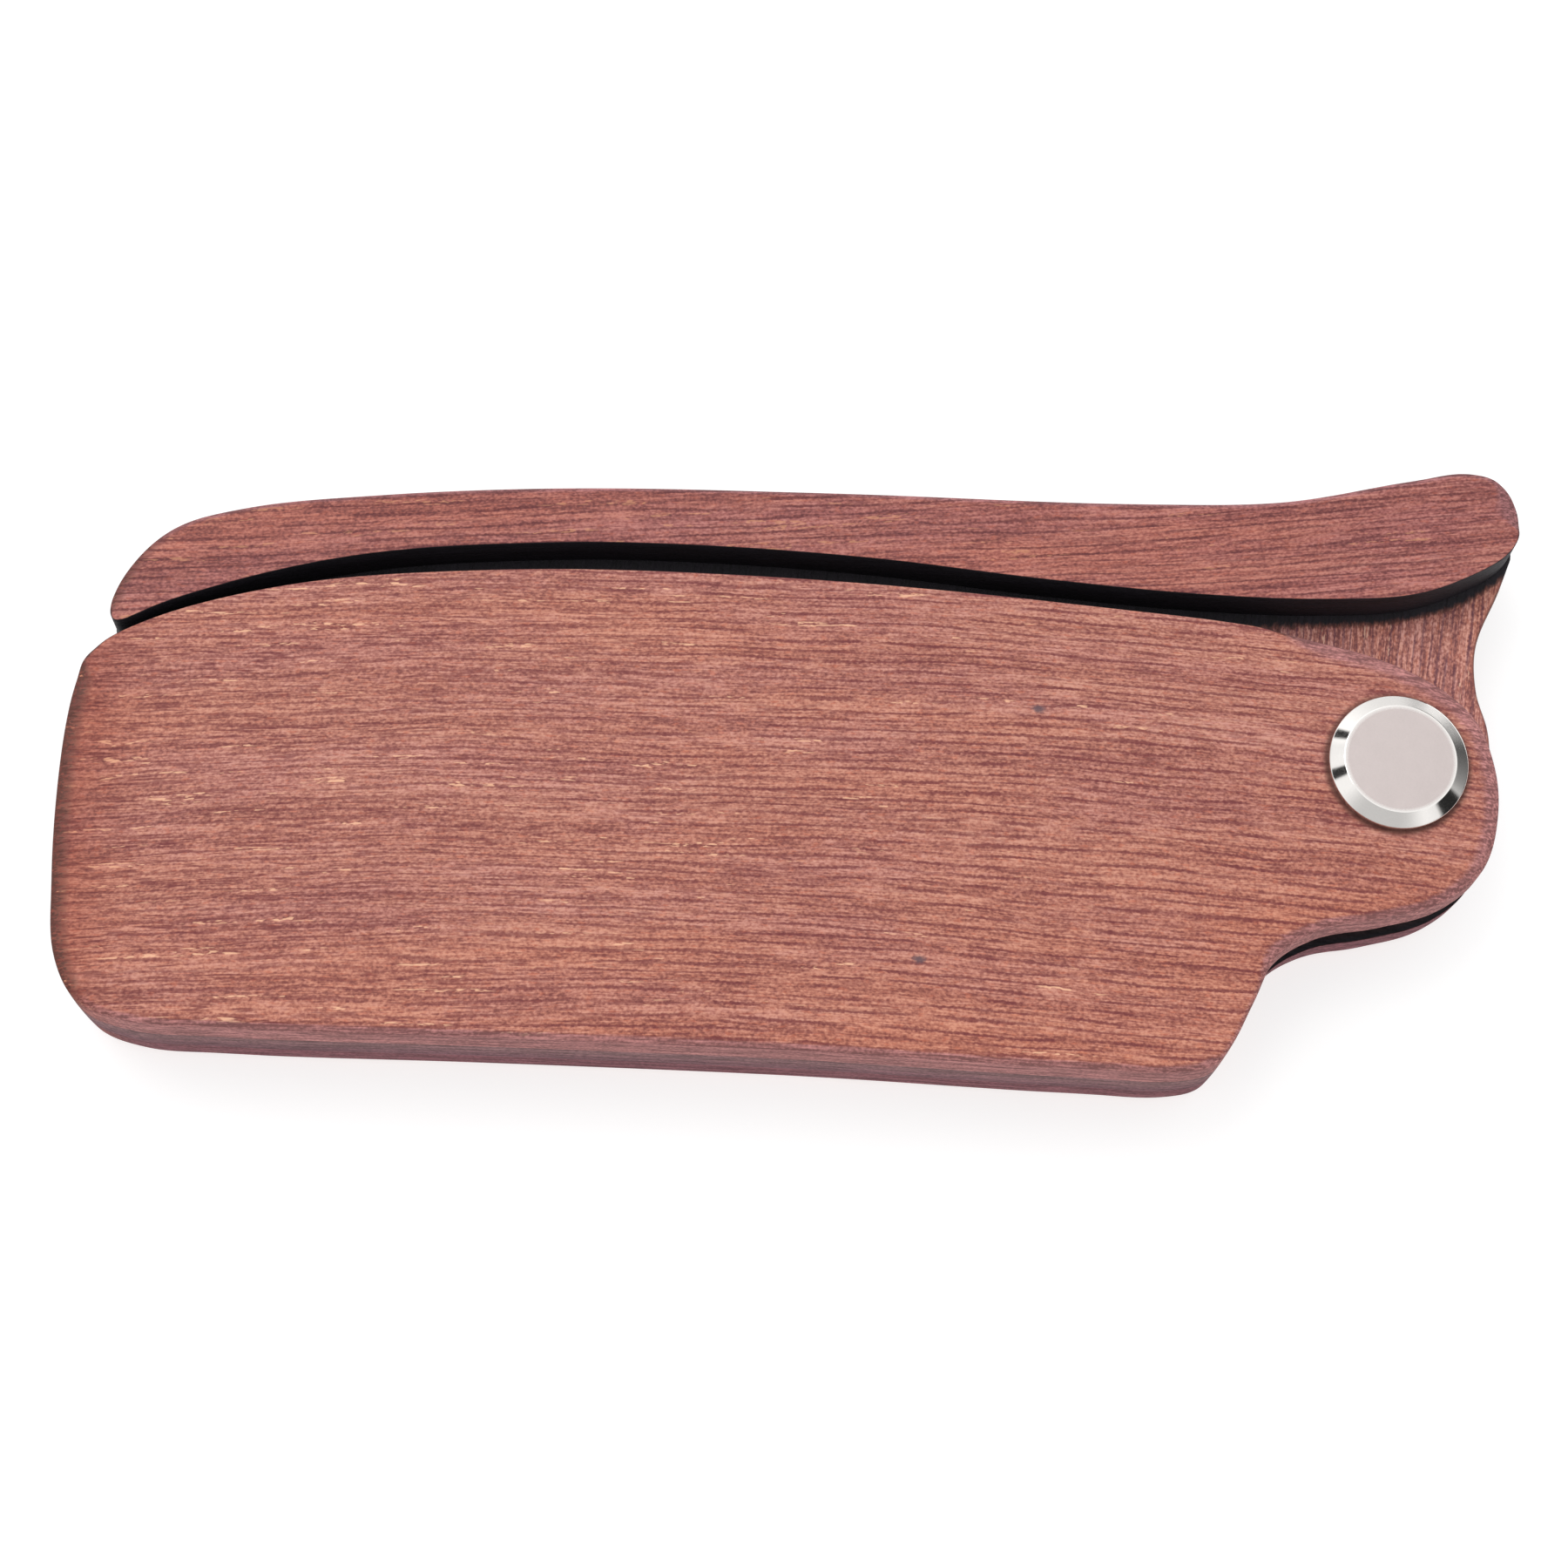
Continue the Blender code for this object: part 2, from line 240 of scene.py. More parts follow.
class NodeSheet:
    """Adds nodes to a shader or geometry tree."""

    def __init__(self, tree: bpy.types.NodeTree) -> None:
        """Keeps the tree."""
        self.tree = tree

    def add(self, kind: str, settings: dict[str, Any], inputs: dict[Any, Any], output: Any = 0) -> Signal:
        """Adds one node.

        Args:
            kind: The node's type.
            settings: Its settings, which are set first. "stops" fills a ramp and "points" a curve.
            inputs: Values, or signals to link, for its inputs, by name or place.
            output: The output that is returned, by name or place.

        Returns:
            The output.
        """
        node = self.tree.nodes.new(kind)
        for name, value in settings.items():
            if name == "stops":
                self._fill_ramp(node.color_ramp, value)
            elif name == "points":
                self._fill_curve(node.mapping, value)
            else:
                setattr(node, name, value)
        for key, value in inputs.items():
            if isinstance(value, Signal):
                self.tree.links.new(value.socket, node.inputs[key])
            else:
                node.inputs[key].default_value = value
        return Signal(self, node.outputs[output])

    @staticmethod
    def _fill_ramp(ramp: bpy.types.ColorRamp, stops: Sequence[tuple[float, Colour]]) -> None:
        """Gives a ramp its stops.

        Args:
            ramp: The ramp.
            stops: Each stop's place and colour.
        """
        while len(ramp.elements) < len(stops):
            ramp.elements.new(1.0)
        for element, (place, colour) in zip(ramp.elements, stops):
            element.position = place
            element.color = (*colour, 1.0)

    @staticmethod
    def _fill_curve(mapping: bpy.types.CurveMapping, points: Sequence[Span]) -> None:
        """Gives a float curve its points, with the outer two in place of the two that it has.

        Args:
            mapping: The curve's mapping.
            points: The curve's points, from left to right.
        """
        curve = mapping.curves[0]
        for place, value in points[1:-1]:
            curve.points.new(place, value)
        for point, ends in ((curve.points[0], points[0]), (curve.points[-1], points[-1])):
            point.location = ends
        mapping.update()

    def mix(self, share: Signal | float, first: Any, second: Any) -> Signal:
        """Mixes two colours.

        Args:
            share: 0 for the first colour, 1 for the second.
            first: A colour or a signal.
            second: A colour or a signal.

        Returns:
            The mixed colour.
        """
        colours = [colour if isinstance(colour, Signal) else (*colour, 1.0) for colour in (first, second)]
        inputs = {0: share, 6: colours[0], 7: colours[1]}
        return self.add("ShaderNodeMix", {"data_type": "RGBA"}, inputs, 2)

    def brighten(self, colour: Signal | Colour, factor: Signal) -> Signal:
        """Multiplies a colour by a number."""
        return self.add("ShaderNodeVectorMath", {"operation": "SCALE"}, {0: colour, "Scale": factor})

    def multiply(self, first: Signal, second: Signal) -> Signal:
        """Multiplies two colours, channel by channel."""
        return self.add("ShaderNodeVectorMath", {"operation": "MULTIPLY"}, {0: first, 1: second})

    def attribute(self, name: str) -> Signal:
        """Reads a number that each point of the piece has."""
        return self.add("ShaderNodeAttribute", {"attribute_name": name}, {}, "Fac")

    def point(self, x: Signal | float, y: Signal | float, z: Signal | float) -> Signal:
        """Joins three numbers into a point."""
        return self.add("ShaderNodeCombineXYZ", {}, {0: x, 1: y, 2: z})

    def parts(self, point: Signal) -> tuple[Signal, Signal, Signal]:
        """Splits a point into its three numbers.

        Args:
            point: The point.

        Returns:
            Its x, y and z.
        """
        first = self.add("ShaderNodeSeparateXYZ", {}, {0: point})
        outputs = first.socket.node.outputs
        return first, Signal(self, outputs[1]), Signal(self, outputs[2])


class Paint:
    """A new material, with its shader and the sheet for its nodes."""

    def __init__(self, name: str) -> None:
        """Makes the material.

        Args:
            name: The material's name.
        """
        self.material = bpy.data.materials.new(name)
        self.material.use_nodes = True
        self.sheet = NodeSheet(self.material.node_tree)
        self.shader = self.material.node_tree.nodes["Principled BSDF"]

    def coat(self, colour: Signal, rough: Signal, height: Signal, strength: float, depth: float) -> None:
        """Gives the shader its varying inputs.

        Args:
            colour: The base colour.
            rough: The roughness.
            height: The relief, which is turned into a bump.
            strength: The bump's strength.
            depth: The relief's real depth where its height is 1.
        """
        relief = {"Strength": strength, "Distance": depth, "Height": height}
        bump = self.sheet.add("ShaderNodeBump", {}, relief)
        for name, signal in (("Base Color", colour), ("Roughness", rough), ("Normal", bump)):
            self.material.node_tree.links.new(signal.socket, self.shader.inputs[name])


@dataclass(frozen=True)
class Clouds:
    """A noise's clouds, drawn out along the fibres: their sizes in millimetres and their finer layers."""

    length: float
    width: float
    detail: float = 2.0
    roughness: float = 0.5


@dataclass(frozen=True)
class Grain:
    """A board's place in the wood: the axes along, across and through its fibres, in millimetres."""

    sheet: NodeSheet
    along: Signal
    across: Signal
    through: Signal

    def noise(self, clouds: Clouds) -> Signal:
        """Reads a cloudy noise, about 0.5 on average.

        Args:
            clouds: The noise's clouds.

        Returns:
            The noise.
        """
        across, through = self.across / clouds.width, self.through / clouds.width
        place = self.sheet.point(self.along / clouds.length, across, through)
        inputs = {"Vector": place, "Scale": 1.0, "Detail": clouds.detail, "Roughness": clouds.roughness}
        return self.sheet.add("ShaderNodeTexNoise", {}, inputs)


@dataclass(frozen=True)
class GrainCourse:
    """How the fibres run through a board, with lengths in millimetres and the angle in degrees."""

    angle: float = 0.0
    arch: float = 0.0
    arch_middle: float = 0.0
    offset: Triple = (0.0, 0.0, 0.0)
    broad_waver: Clouds = Clouds(60.0, 16.0, 1.0)
    broad_sway: float = 2.6
    fine_waver: Clouds = Clouds(9.0, 2.2)
    fine_sway: float = 0.45

    def follow(self, sheet: NodeSheet, place: Signal) -> Grain:
        """Turns a place on the board into one in the wood.

        Args:
            sheet: The sheet that the nodes go on.
            place: The place on the board.

        Returns:
            The place in the wood, with the figure's arch and its waver.
        """
        turn = (0.0, 0.0, -math.radians(self.angle))
        turned = sheet.add("ShaderNodeMapping", {}, {"Vector": place, "Rotation": turn, "Scale": PER_MM})
        along, across, through = sheet.parts(turned)
        bent = across + (along - self.arch_middle).squared() * self.arch
        ways = zip((along, bent, through), self.offset)
        still = Grain(sheet, *(way + shift for way, shift in ways))
        waver = still.noise(self.broad_waver).swing(self.broad_sway)
        waver += still.noise(self.fine_waver).swing(self.fine_sway)
        return Grain(sheet, still.along, still.across + waver, still.through)


@dataclass(frozen=True)
class Figure:
    """What the layers of a wood's look share: the place in millimetres and the fine noises there."""

    x: Signal
    y: Signal
    z: Signal
    grain: Grain
    fibre: Signal
    speckle: Signal
    streak: Signal

    def away(self, x: float, y: float, squeeze: float = 1.0) -> Signal:
        """Measures the distance from an upright line, with the way along the board squeezed."""
        return (((self.x - x) * squeeze).squared() + (self.y - y).squared()).root()


@dataclass(frozen=True)
class Tints:
    """Ruddy and mauve patches, and a ruddy corner that is given by its slopes along x and y."""

    ruddy: Colour = (1.06, 0.97, 0.87)
    mauve: Colour = (0.97, 0.955, 1.05)
    ruddy_clouds: Clouds = Clouds(42.0, 7.0)
    ruddy_rise: Span = (0.40, 0.66)
    mauve_clouds: Clouds = Clouds(16.0, 3.0, 3.0)
    mauve_fibres: Clouds = Clouds(1.1, 0.3)
    mauve_rise: Span = (0.44, 0.60)
    clouds_share: float = 0.6
    corner_slopes: Span | None = None
    corner_start: float = 0.12

    def apply(self, figure: Figure, colour: Signal) -> Signal:
        """Tints the wood.

        Args:
            figure: The place in the wood and its noises.
            colour: The wood's colour.

        Returns:
            The tinted colour.
        """
        sheet, grain, share = figure.grain.sheet, figure.grain, self.clouds_share
        ruddy = grain.noise(self.ruddy_clouds).ease(*self.ruddy_rise)
        if self.corner_slopes:
            along, across = self.corner_slopes
            corner = (figure.x * along + figure.y * across - self.corner_start).ease(0.0, 1.0)
            ruddy = (ruddy * share + corner).least(1.0)
        mauve = grain.noise(self.mauve_clouds) * share + grain.noise(self.mauve_fibres) * (1.0 - share)
        tint = sheet.mix(ruddy, WHITE, self.ruddy)
        tint = sheet.mix(mauve.ease(*self.mauve_rise) * (1.0 - ruddy * share), tint, self.mauve)
        return sheet.multiply(colour, tint)


@dataclass(frozen=True)
class Vessels:
    """Dark vessels: long ones in rows along the fibres and fine short ones between them."""

    colour: Colour
    strength: float = 0.74
    length: float = 4.8
    gap: float = 0.74
    lined_rise: Span = (-45.0, 10.0)
    spread: Clouds = Clouds(15.0, 2.2, 1.0)
    spread_rows: float = 1.5
    row_slant: float = 0.8
    row_step: float = 5.3
    fray: float = 0.2
    half_width: Span = (0.21, 0.05)
    drawn_rise: Span = (0.34, 0.54)
    lined_gain: float = 0.3
    short: Clouds = Clouds(2.0, 0.19, 1.0)
    short_rise: Span = (0.55, 0.69)
    short_loss: float = 0.45
    short_least: float = 0.45
    short_spread: float = 0.85

    def share(self, figure: Figure) -> Signal:
        """Tells how dark the vessels are, from 0 to 1, with longer ones towards the rivet.

        Args:
            figure: The place in the wood and its noises.

        Returns:
            The share of the vessels' colour.
        """
        grain = figure.grain
        spread = grain.noise(self.spread)
        phase = (grain.across + grain.through * self.row_slant) / self.gap + spread * self.spread_rows
        row = phase.floor()
        away = abs(phase - row - 0.5) + figure.speckle.swing(self.fray)
        place = grain.sheet.point(grain.along / self.length, row * self.row_step, 0.0)
        drawn = grain.sheet.add("ShaderNodeTexNoise", {}, {"Vector": place, "Scale": 1.0, "Detail": 1.0})
        lined = figure.x.ease(*self.lined_rise)
        long = away.ease(*self.half_width) * drawn.ease(*self.drawn_rise)
        long = long * (1.0 - self.lined_gain + lined * self.lined_gain)
        short = grain.noise(self.short).ease(*self.short_rise) * (1.0 - lined * self.short_loss)
        return long.most(short * (self.short_least + spread * self.short_spread)).least(1.0)


@dataclass(frozen=True)
class Flecks:
    """Golden flecks: short bright dashes that follow each other in a few lanes."""

    colour: Colour
    strength: float = 0.8
    lanes: Clouds = Clouds(8.0, 0.5, 1.0)
    lane_rise: Span = (0.64, 0.69)
    thinning: float = 0.0010
    dashes: Clouds = Clouds(0.7, 0.16, 1.0)
    dash_rise: Span = (0.53, 0.63)

    def share(self, grain: Grain) -> Signal:
        """Tells how bright the flecks are, from 0 to 1."""
        lane = (grain.noise(self.lanes) - grain.along * self.thinning).ease(*self.lane_rise)
        return grain.noise(self.dashes).ease(*self.dash_rise) * lane


@dataclass(frozen=True)
class Speck:
    """A small dark pin knot that goes through a board, in millimetres from the comb's middle."""

    x: float
    y: float
    colour: Colour = tone(92, 72, 80)
    strength: float = 0.85
    radius: float = 0.30
    squeeze: float = 0.6
    fray: float = 0.3
    edge: Span = (1.4, 0.4)

    def share(self, figure: Figure) -> Signal:
        """Tells how much of the knot shows, from 0 to 1."""
        away = figure.away(self.x, self.y, self.squeeze) + figure.speckle.swing(self.fray)
        return away.ease(*(self.radius * edge for edge in self.edge)) * self.strength


@dataclass(frozen=True)
class CapShadeRing:
    """Painted shade: the dark ring of the cap's contact shadow on the wood, in millimetres from the comb's
    middle.
    """

    x: float
    y: float
    radius: float
    edge: Span = (0.55, 0.05)
    strength: float = 0.85

    def share(self, figure: Figure) -> Signal:
        """Tells how dark the painted shade ring is, from 0 to 1."""
        away = figure.away(self.x, self.y)
        return away.ease(*(self.radius + edge for edge in self.edge)) * self.strength


@dataclass(frozen=True)
class DarkEnd:
    """An end of a board that is darker, redder and less dusty, with its start and its end in millimetres."""

    span: Span
    tint: Colour = (0.76, 0.54, 0.48)
    dust_loss: float = 0.6


@dataclass(frozen=True)
class RimDustAndShade:
    """The dusty look of sanded rims, with painted shade: the dust's colour near the front face, and below the
    levels a darker colour that paints the shade on the side's lower half.
    """

    colour: Colour
    shade_colour: Colour
    levels: Span = (6.6, 4.6)
    streaks: float = 1.1
    vessels: float = 0.35
    contrast: float = 1.25
    darkest: float = 0.6
    fray: float = 0.6
    rise: Span = (0.10, 0.60)
    strength: float = 0.85

    def share(self, figure: Figure, sanded: Signal) -> Signal:
        """Tells how dusty the wood is, from 0 to 1."""
        return (sanded + figure.fibre.swing(self.fray)).ease(*self.rise)

    def lay(
        self, figure: Figure, colour: Signal, vessel: Signal, dusty: Signal, end: DarkEnd | None
    ) -> Signal:
        """Lays the dust over the wood, with the painted shade on the side's lower half.

        Args:
            figure: The place in the wood and its noises.
            colour: The bare wood's colour.
            vessel: How dark the vessels are.
            dusty: How dusty the wood is.
            end: The darkened end, where there is little dust.

        Returns:
            The dusty wood's colour.
        """
        sheet = figure.grain.sheet
        # Painted shade: the dust's colour darkens below the levels, on the side's lower half that is turned
        # from the light
        dust = sheet.mix(figure.z.ease(*self.levels), self.colour, self.shade_colour)
        streaks = figure.streak * self.streaks + figure.fibre.swing(1.0) - vessel * self.vessels
        dust = sheet.brighten(dust, (1.0 + streaks * self.contrast).most(self.darkest))
        if not end:
            return sheet.mix(dusty * self.strength, colour, dust)
        ended = figure.x.ease(*end.span)
        colour = sheet.mix(dusty * (self.strength - ended * end.dust_loss), colour, dust)
        return sheet.multiply(colour, sheet.mix(ended, WHITE, end.tint))


@dataclass(frozen=True)
class SootAndShadeLine:
    """The line along which soot lies on the blade, the strips' lower edge, in millimetres. Its band is wider
    to the left, where it also paints the shade of the narrow gap under the strips.
    """

    edge: tuple[Span, ...]
    wide: float = 2.1
    narrow: float = 1.05
    narrowing: Span = (30.0, 38.0)
    clean_above: Span = (3.6, 2.8)
    frayed: Clouds = Clouds(0.8, 0.30, 3.0, 0.65)
    fray: float = 0.9
    fade: Span = (1.15, 0.25)
    singe_rise: Span = (0.0, 0.45)
    singe_strength: float = 0.75
    soot_rise: Span = (0.25, 0.95)

    def share(self, figure: Figure) -> Signal:
        """Tells how sooty the blade is, with the painted shade in the gap, from 0 to 1.

        Args:
            figure: The place in the wood and its noises.

        Returns:
            The share of the soot and the painted shade.
        """
        low_x, high_x = self.edge[0][0], self.edge[-1][0]
        heights = [height for _, height in self.edge]
        low_y, high_y = min(heights), max(heights)
        wide, tall = high_x - low_x, high_y - low_y
        points = [((place - low_x) / wide, (height - low_y) / tall) for place, height in self.edge]
        run = {"Value": (figure.x - low_x) / wide}
        curve = figure.grain.sheet.add("ShaderNodeFloatCurve", {"points": points}, run)
        below = (curve * tall + low_y) - figure.y
        # Painted shade: the band is wider to the left, where it also blackens the deep narrow gap under the
        # strips
        reach = self.wide - figure.x.ease(*self.narrowing) * (self.wide - self.narrow)
        frayed = below / reach + figure.grain.noise(self.frayed).swing(self.fray)
        return frayed.ease(*self.fade) * (below * -1.0).ease(*self.clean_above)


@dataclass(frozen=True)
class Burn:
    """The look of scorched and of burnt wood, and the line of soot and painted gap shade where there is one.
    """

    line: SootAndShadeLine | None = None
    scorch_colour: Colour = (0.085, 0.024, 0.016)
    soot_colour: Colour = (0.0115, 0.0088, 0.0135)
    scorch_fibres: float = 4.0
    scorch_speckles: float = 3.0
    most_scorch: float = 0.94
    soot_streaks: float = 1.5
    soot_cover: float = 1.02

    def lay(self, figure: Figure, colour: Signal, scorch: Signal, burnt: Signal) -> tuple[Signal, Signal]:
        """Scorches the wood and lays the soot on it, with the painted shade in the gap under the strips.

        Args:
            figure: The place in the wood and its noises.
            colour: The wood's colour.
            scorch: How scorched the wood is.
            burnt: How burnt it is.

        Returns:
            The colour, and how burnt the wood is with the line of soot and painted shade.
        """
        sheet = figure.grain.sheet
        frayed = 1.0 + figure.fibre.swing(self.scorch_fibres) + figure.speckle.swing(self.scorch_speckles)
        colour = sheet.mix((scorch * frayed).least(self.most_scorch).most(0.0), colour, self.scorch_colour)
        if self.line:
            soot_and_shade = self.line.share(figure)
            singed = soot_and_shade.ease(*self.line.singe_rise) * self.line.singe_strength
            colour = sheet.mix(singed, colour, self.scorch_colour)
            # The soot and the painted gap shade are laid like burnt wood
            burnt = burnt.most(soot_and_shade.ease(*self.line.soot_rise))
        soot = sheet.brighten(self.soot_colour, 1.0 + figure.streak * self.soot_streaks)
        return sheet.mix((burnt * self.soot_cover).least(1.0), colour, soot), burnt


@dataclass(frozen=True)
class WoodFinish:
    """Satin red-brown wood: wavy fibres, dark vessels, golden flecks, sanded rims and burnt cuts, with
    painted shade on the rims' lower half, in the gap under the strips and around the cap.
    """

    name: str
    dark: Colour
    heart: Colour
    light: Colour
    ember: Colour
    vessels: Vessels
    flecks: Flecks
    dust: RimDustAndShade
    course: GrainCourse
    tints: Tints = Tints()
    burn: Burn = Burn()
    dark_end: DarkEnd | None = None
    cap_shade_ring: CapShadeRing | None = None
    specks: tuple[Speck, ...] = ()
    fibre_strength: float = 1.0
    stop_places: Triple = (0.16, 0.5, 0.84)
    fibres: Clouds = Clouds(3.2, 0.15, 3.0, 0.6)
    fibre_swing: float = 1.3
    bands: Clouds = Clouds(22.0, 0.9)
    band_swing: float = 0.7
    speckles: Clouds = Clouds(0.26, 0.17, 1.0)
    speckle_swing: float = 1.1
    embers: Clouds = Clouds(0.8, 0.2, 1.0)
    ember_rise: Span = (0.58, 0.72)
    ember_strength: float = 0.38
    relief: Triple = (0.5, -0.7, 0.35)
    bump: float = 0.4
    bump_height: float = 0.06 * MM
    specular: float = 0.4
    roughness: float = 0.55
    rough_fibres: float = 0.25
    rough_vessels: float = 0.12
    rough_soot: float = 0.12
    rough_dust: float = 0.35

    def material(self) -> bpy.types.Material:
        """Builds the material.

        Returns:
            The new material.
        """
        paint = Paint(self.name)
        figure = self._figure(paint.sheet)
        vessel = self.vessels.share(figure)
        colour = self._bare(figure, vessel)
        sanded, burnt, scorch = (paint.sheet.attribute(name) for name in WEAR_NAMES)
        dusty = self.dust.share(figure, sanded)
        colour = self.dust.lay(figure, colour, vessel, dusty, self.dark_end)
        colour, burnt = self.burn.lay(figure, colour, scorch, burnt)
        parts = zip((figure.fibre, vessel, figure.speckle), self.relief)
        fibre_height, vessel_height, speckle_height = (part * height for part, height in parts)
        height = fibre_height + vessel_height + speckle_height
        rough = self.roughness + figure.fibre.swing(self.rough_fibres) + vessel * self.rough_vessels
        rough = rough + burnt * self.rough_soot + dusty * self.rough_dust
        paint.coat(colour, rough, height, self.bump, self.bump_height)
        paint.shader.inputs["Specular IOR Level"].default_value = self.specular
        return paint.material

    def _figure(self, sheet: NodeSheet) -> Figure:
        """Works out the place in the wood and the fine noises there.

        Args:
            sheet: The sheet that the nodes go on.

        Returns:
            What the layers of the look share.
        """
        place = sheet.add("ShaderNodeTexCoord", {}, {}, "Object")
        x, y, z = sheet.parts(sheet.add("ShaderNodeMapping", {}, {"Vector": place, "Scale": PER_MM}))
        grain = self.course.follow(sheet, place)
        fibre, speckle = grain.noise(self.fibres), grain.noise(self.speckles)
        streak = fibre.swing(self.fibre_swing) + grain.noise(self.bands).swing(self.band_swing)
        return Figure(x, y, z, grain, fibre, speckle, streak + speckle.swing(self.speckle_swing))

    def _bare(self, figure: Figure, vessel: Signal) -> Signal:
        """Works out the colour of the bare wood, with its vessels, flecks, knots and the painted shade ring
        around the cap.

        Args:
            figure: The place in the wood and its noises.
            vessel: How dark the vessels are.

        Returns:
            The colour.
        """
        sheet = figure.grain.sheet
        stops = tuple(zip(self.stop_places, (self.dark, self.heart, self.light)))
        shade = {"Fac": figure.streak * self.fibre_strength + 0.5}
        colour = self.tints.apply(figure, sheet.add("ShaderNodeValToRGB", {"stops": stops}, shade))
        ember = figure.grain.noise(self.embers).ease(*self.ember_rise)
        colour = sheet.mix(ember * self.ember_strength, colour, self.ember)
        colour = sheet.mix(vessel * self.vessels.strength, colour, self.vessels.colour)
        fleck = self.flecks.share(figure.grain) * self.flecks.strength
        colour = sheet.mix(fleck, colour, self.flecks.colour)
        for speck in self.specks:
            colour = sheet.mix(speck.share(figure), colour, speck.colour)
        # Painted shade: a dark ring where the cap's contact shadow falls on the wood
        if self.cap_shade_ring:
            colour = sheet.mix(self.cap_shade_ring.share(figure), colour, self.burn.scorch_colour)
        return colour


@dataclass(frozen=True)
class MetalFinish:
    """Satin metal whose chamfer is polished."""

    name: str
    satin_tone: Colour
    polished_tone: Colour
    satin: float = 0.36
    polished: float = 0.09
    fine_scale: float = 9.0
    broad_scale: float = 0.8
    detail: float = 3.0
    least_tone: float = 0.92
    tone_parts: Span = (0.1, 0.06)
    rough_swings: Span = (0.12, 0.08)
    bump: float = 0.12
    bump_height: float = 0.02 * MM

    def material(self) -> bpy.types.Material:
        """Builds the material.

        Returns:
            The new material.
        """
        paint = Paint(self.name)
        sheet = paint.sheet
        place = sheet.add("ShaderNodeTexCoord", {}, {}, "Object")
        flat = sheet.add("ShaderNodeMapping", {}, {"Vector": place, "Scale": PER_MM})
        fine, broad = (
            sheet.add("ShaderNodeTexNoise", {}, {"Vector": flat, "Scale": scale, "Detail": self.detail})
            for scale in (self.fine_scale, self.broad_scale)
        )
        polish = sheet.attribute(POLISH_NAME)
        shade = self.least_tone + fine * self.tone_parts[0] + broad * self.tone_parts[1]
        colour = sheet.brighten(sheet.mix(polish, self.satin_tone, self.polished_tone), shade)
        rough = self.satin + fine.swing(self.rough_swings[0]) + broad.swing(self.rough_swings[1])
        rough = rough - polish * (self.satin - self.polished)
        paint.coat(colour, rough, fine * (1.0 - polish), self.bump, self.bump_height)
        paint.shader.inputs["Metallic"].default_value = 1.0
        return paint.material


@dataclass
class Outline:
    """A closed border, anticlockwise, with the sharp corners that it turns at."""

    points: list[Vector]
    corner_degrees: float = CORNER_DEGREES

    def __post_init__(self) -> None:
        """Makes the border run anticlockwise."""
        if sum(here.cross(there) for here, there in ring_pairs(self.points)) < 0:
            self.points.reverse()

    def around(self, index: int) -> tuple[Vector, Vector]:
        """Gives the way into a point and the way out of it, from its neighbours."""
        here = self.points[index]
        return here - self.points[index - 1], self.points[(index + 1) % len(self.points)] - here

    def is_corner(self, index: int) -> bool:
        """Tells whether the border turns sharply at a point."""
        into, out = self.around(index)
        return abs(into.angle_signed(out)) > math.radians(self.corner_degrees)

    def outward(self, index: int) -> Vector:
        """Gives the direction that points away from the board at a point.

        Args:
            index: The point of the border.

        Returns:
            The direction, one unit long.
        """
        into, out = self.around(index)
        flow = into.normalized() + out.normalized()
        return Vector((flow.y, -flow.x)).normalized()

    def refined(self, step: float) -> "Outline":
        """Puts more points on the smooth curve through this border's points.

        Args:
            step: The longest distance between two points.

        Returns:
            The finer border, through the same points and corners.
        """
        points = []
        for index, here in enumerate(self.points):
            after = (index + 1) % len(self.points)
            there = self.points[after]
            reach = (there - here).length / 3
            leave = here + self._flow(index, False) * reach
            arrive = there - self._flow(after, True) * reach
            count = max(1, math.ceil(reach * 3 / step))
            places = interpolate_bezier(here, leave, arrive, there, count + 1)[:-1]
            points += [Vector(place[:2]) for place in places]
        return Outline(points, self.corner_degrees)

    def _flow(self, index: int, arriving: bool) -> Vector:
        """Gives the curve's direction at a point, where the nearer neighbour counts for more.

        Args:
            index: The point of the border.
            arriving: True for the way in at a sharp corner, and False for the way out.

        Returns:
            The direction, one unit long.
        """
        into, out = self.around(index)
        if self.is_corner(index):
            return (into if arriving else out).normalized()
        return (into.normalized() * out.length + out.normalized() * into.length).normalized()

    def corner_distance(self) -> list[float]:
        """Gives each point's distance along the border to the nearest sharp corner.

        Returns:
            The distances, infinite on a border without a sharp corner.
        """
        count = len(self.points)
        reach = [0.0 if self.is_corner(index) else math.inf for index in range(count)]
        # Twice each way round, because the nearest corner may lie past the first point
        for _ in range(2):
            for order in (range(count), range(count - 1, -1, -1)):
                step = 1 if order.step < 0 else -1
                for index in order:
                    near = (index + step) % count
                    gap = (self.points[index] - self.points[near]).length
                    reach[index] = min(reach[index], reach[near] + gap)
        return reach

    def softened(self, reach: float, passes: int) -> "Outline":
        """Rounds the sharp corners a little.

        Args:
            reach: How far from a corner the border is changed.
            passes: How often each point moves halfway to the middle of its neighbours.

        Returns:
            The rounded border, with as many points.
        """
        count = len(self.points)
        shares = [ease(reach, 0.0, distance) for distance in self.corner_distance()]
        points = self.points
        for _ in range(passes):
            middles = [(points[index - 1] + points[(index + 1) % count]) / 2 for index in range(count)]
            rows = zip(points, middles, shares)
            points = [point.lerp(middle, share) for point, middle, share in rows]
        return Outline(points, NO_CORNER_DEGREES)

    def lowest(self, x: float) -> float:
        """Gives the height at which an upright line first meets the border from below.

        Args:
            x: The line's place.

        Returns:
            The height.
        """
        heights = []
        for here, there in ring_pairs(self.points):
            if min(here.x, there.x) <= x < max(here.x, there.x):
                heights.append(here.y + (there.y - here.y) * (x - here.x) / (there.x - here.x))
        return min(heights)

    def distance(self, place: Vector) -> float:
        """Gives a place's distance to the nearest of the border's points."""
        return min((place - point).length for point in self.points)


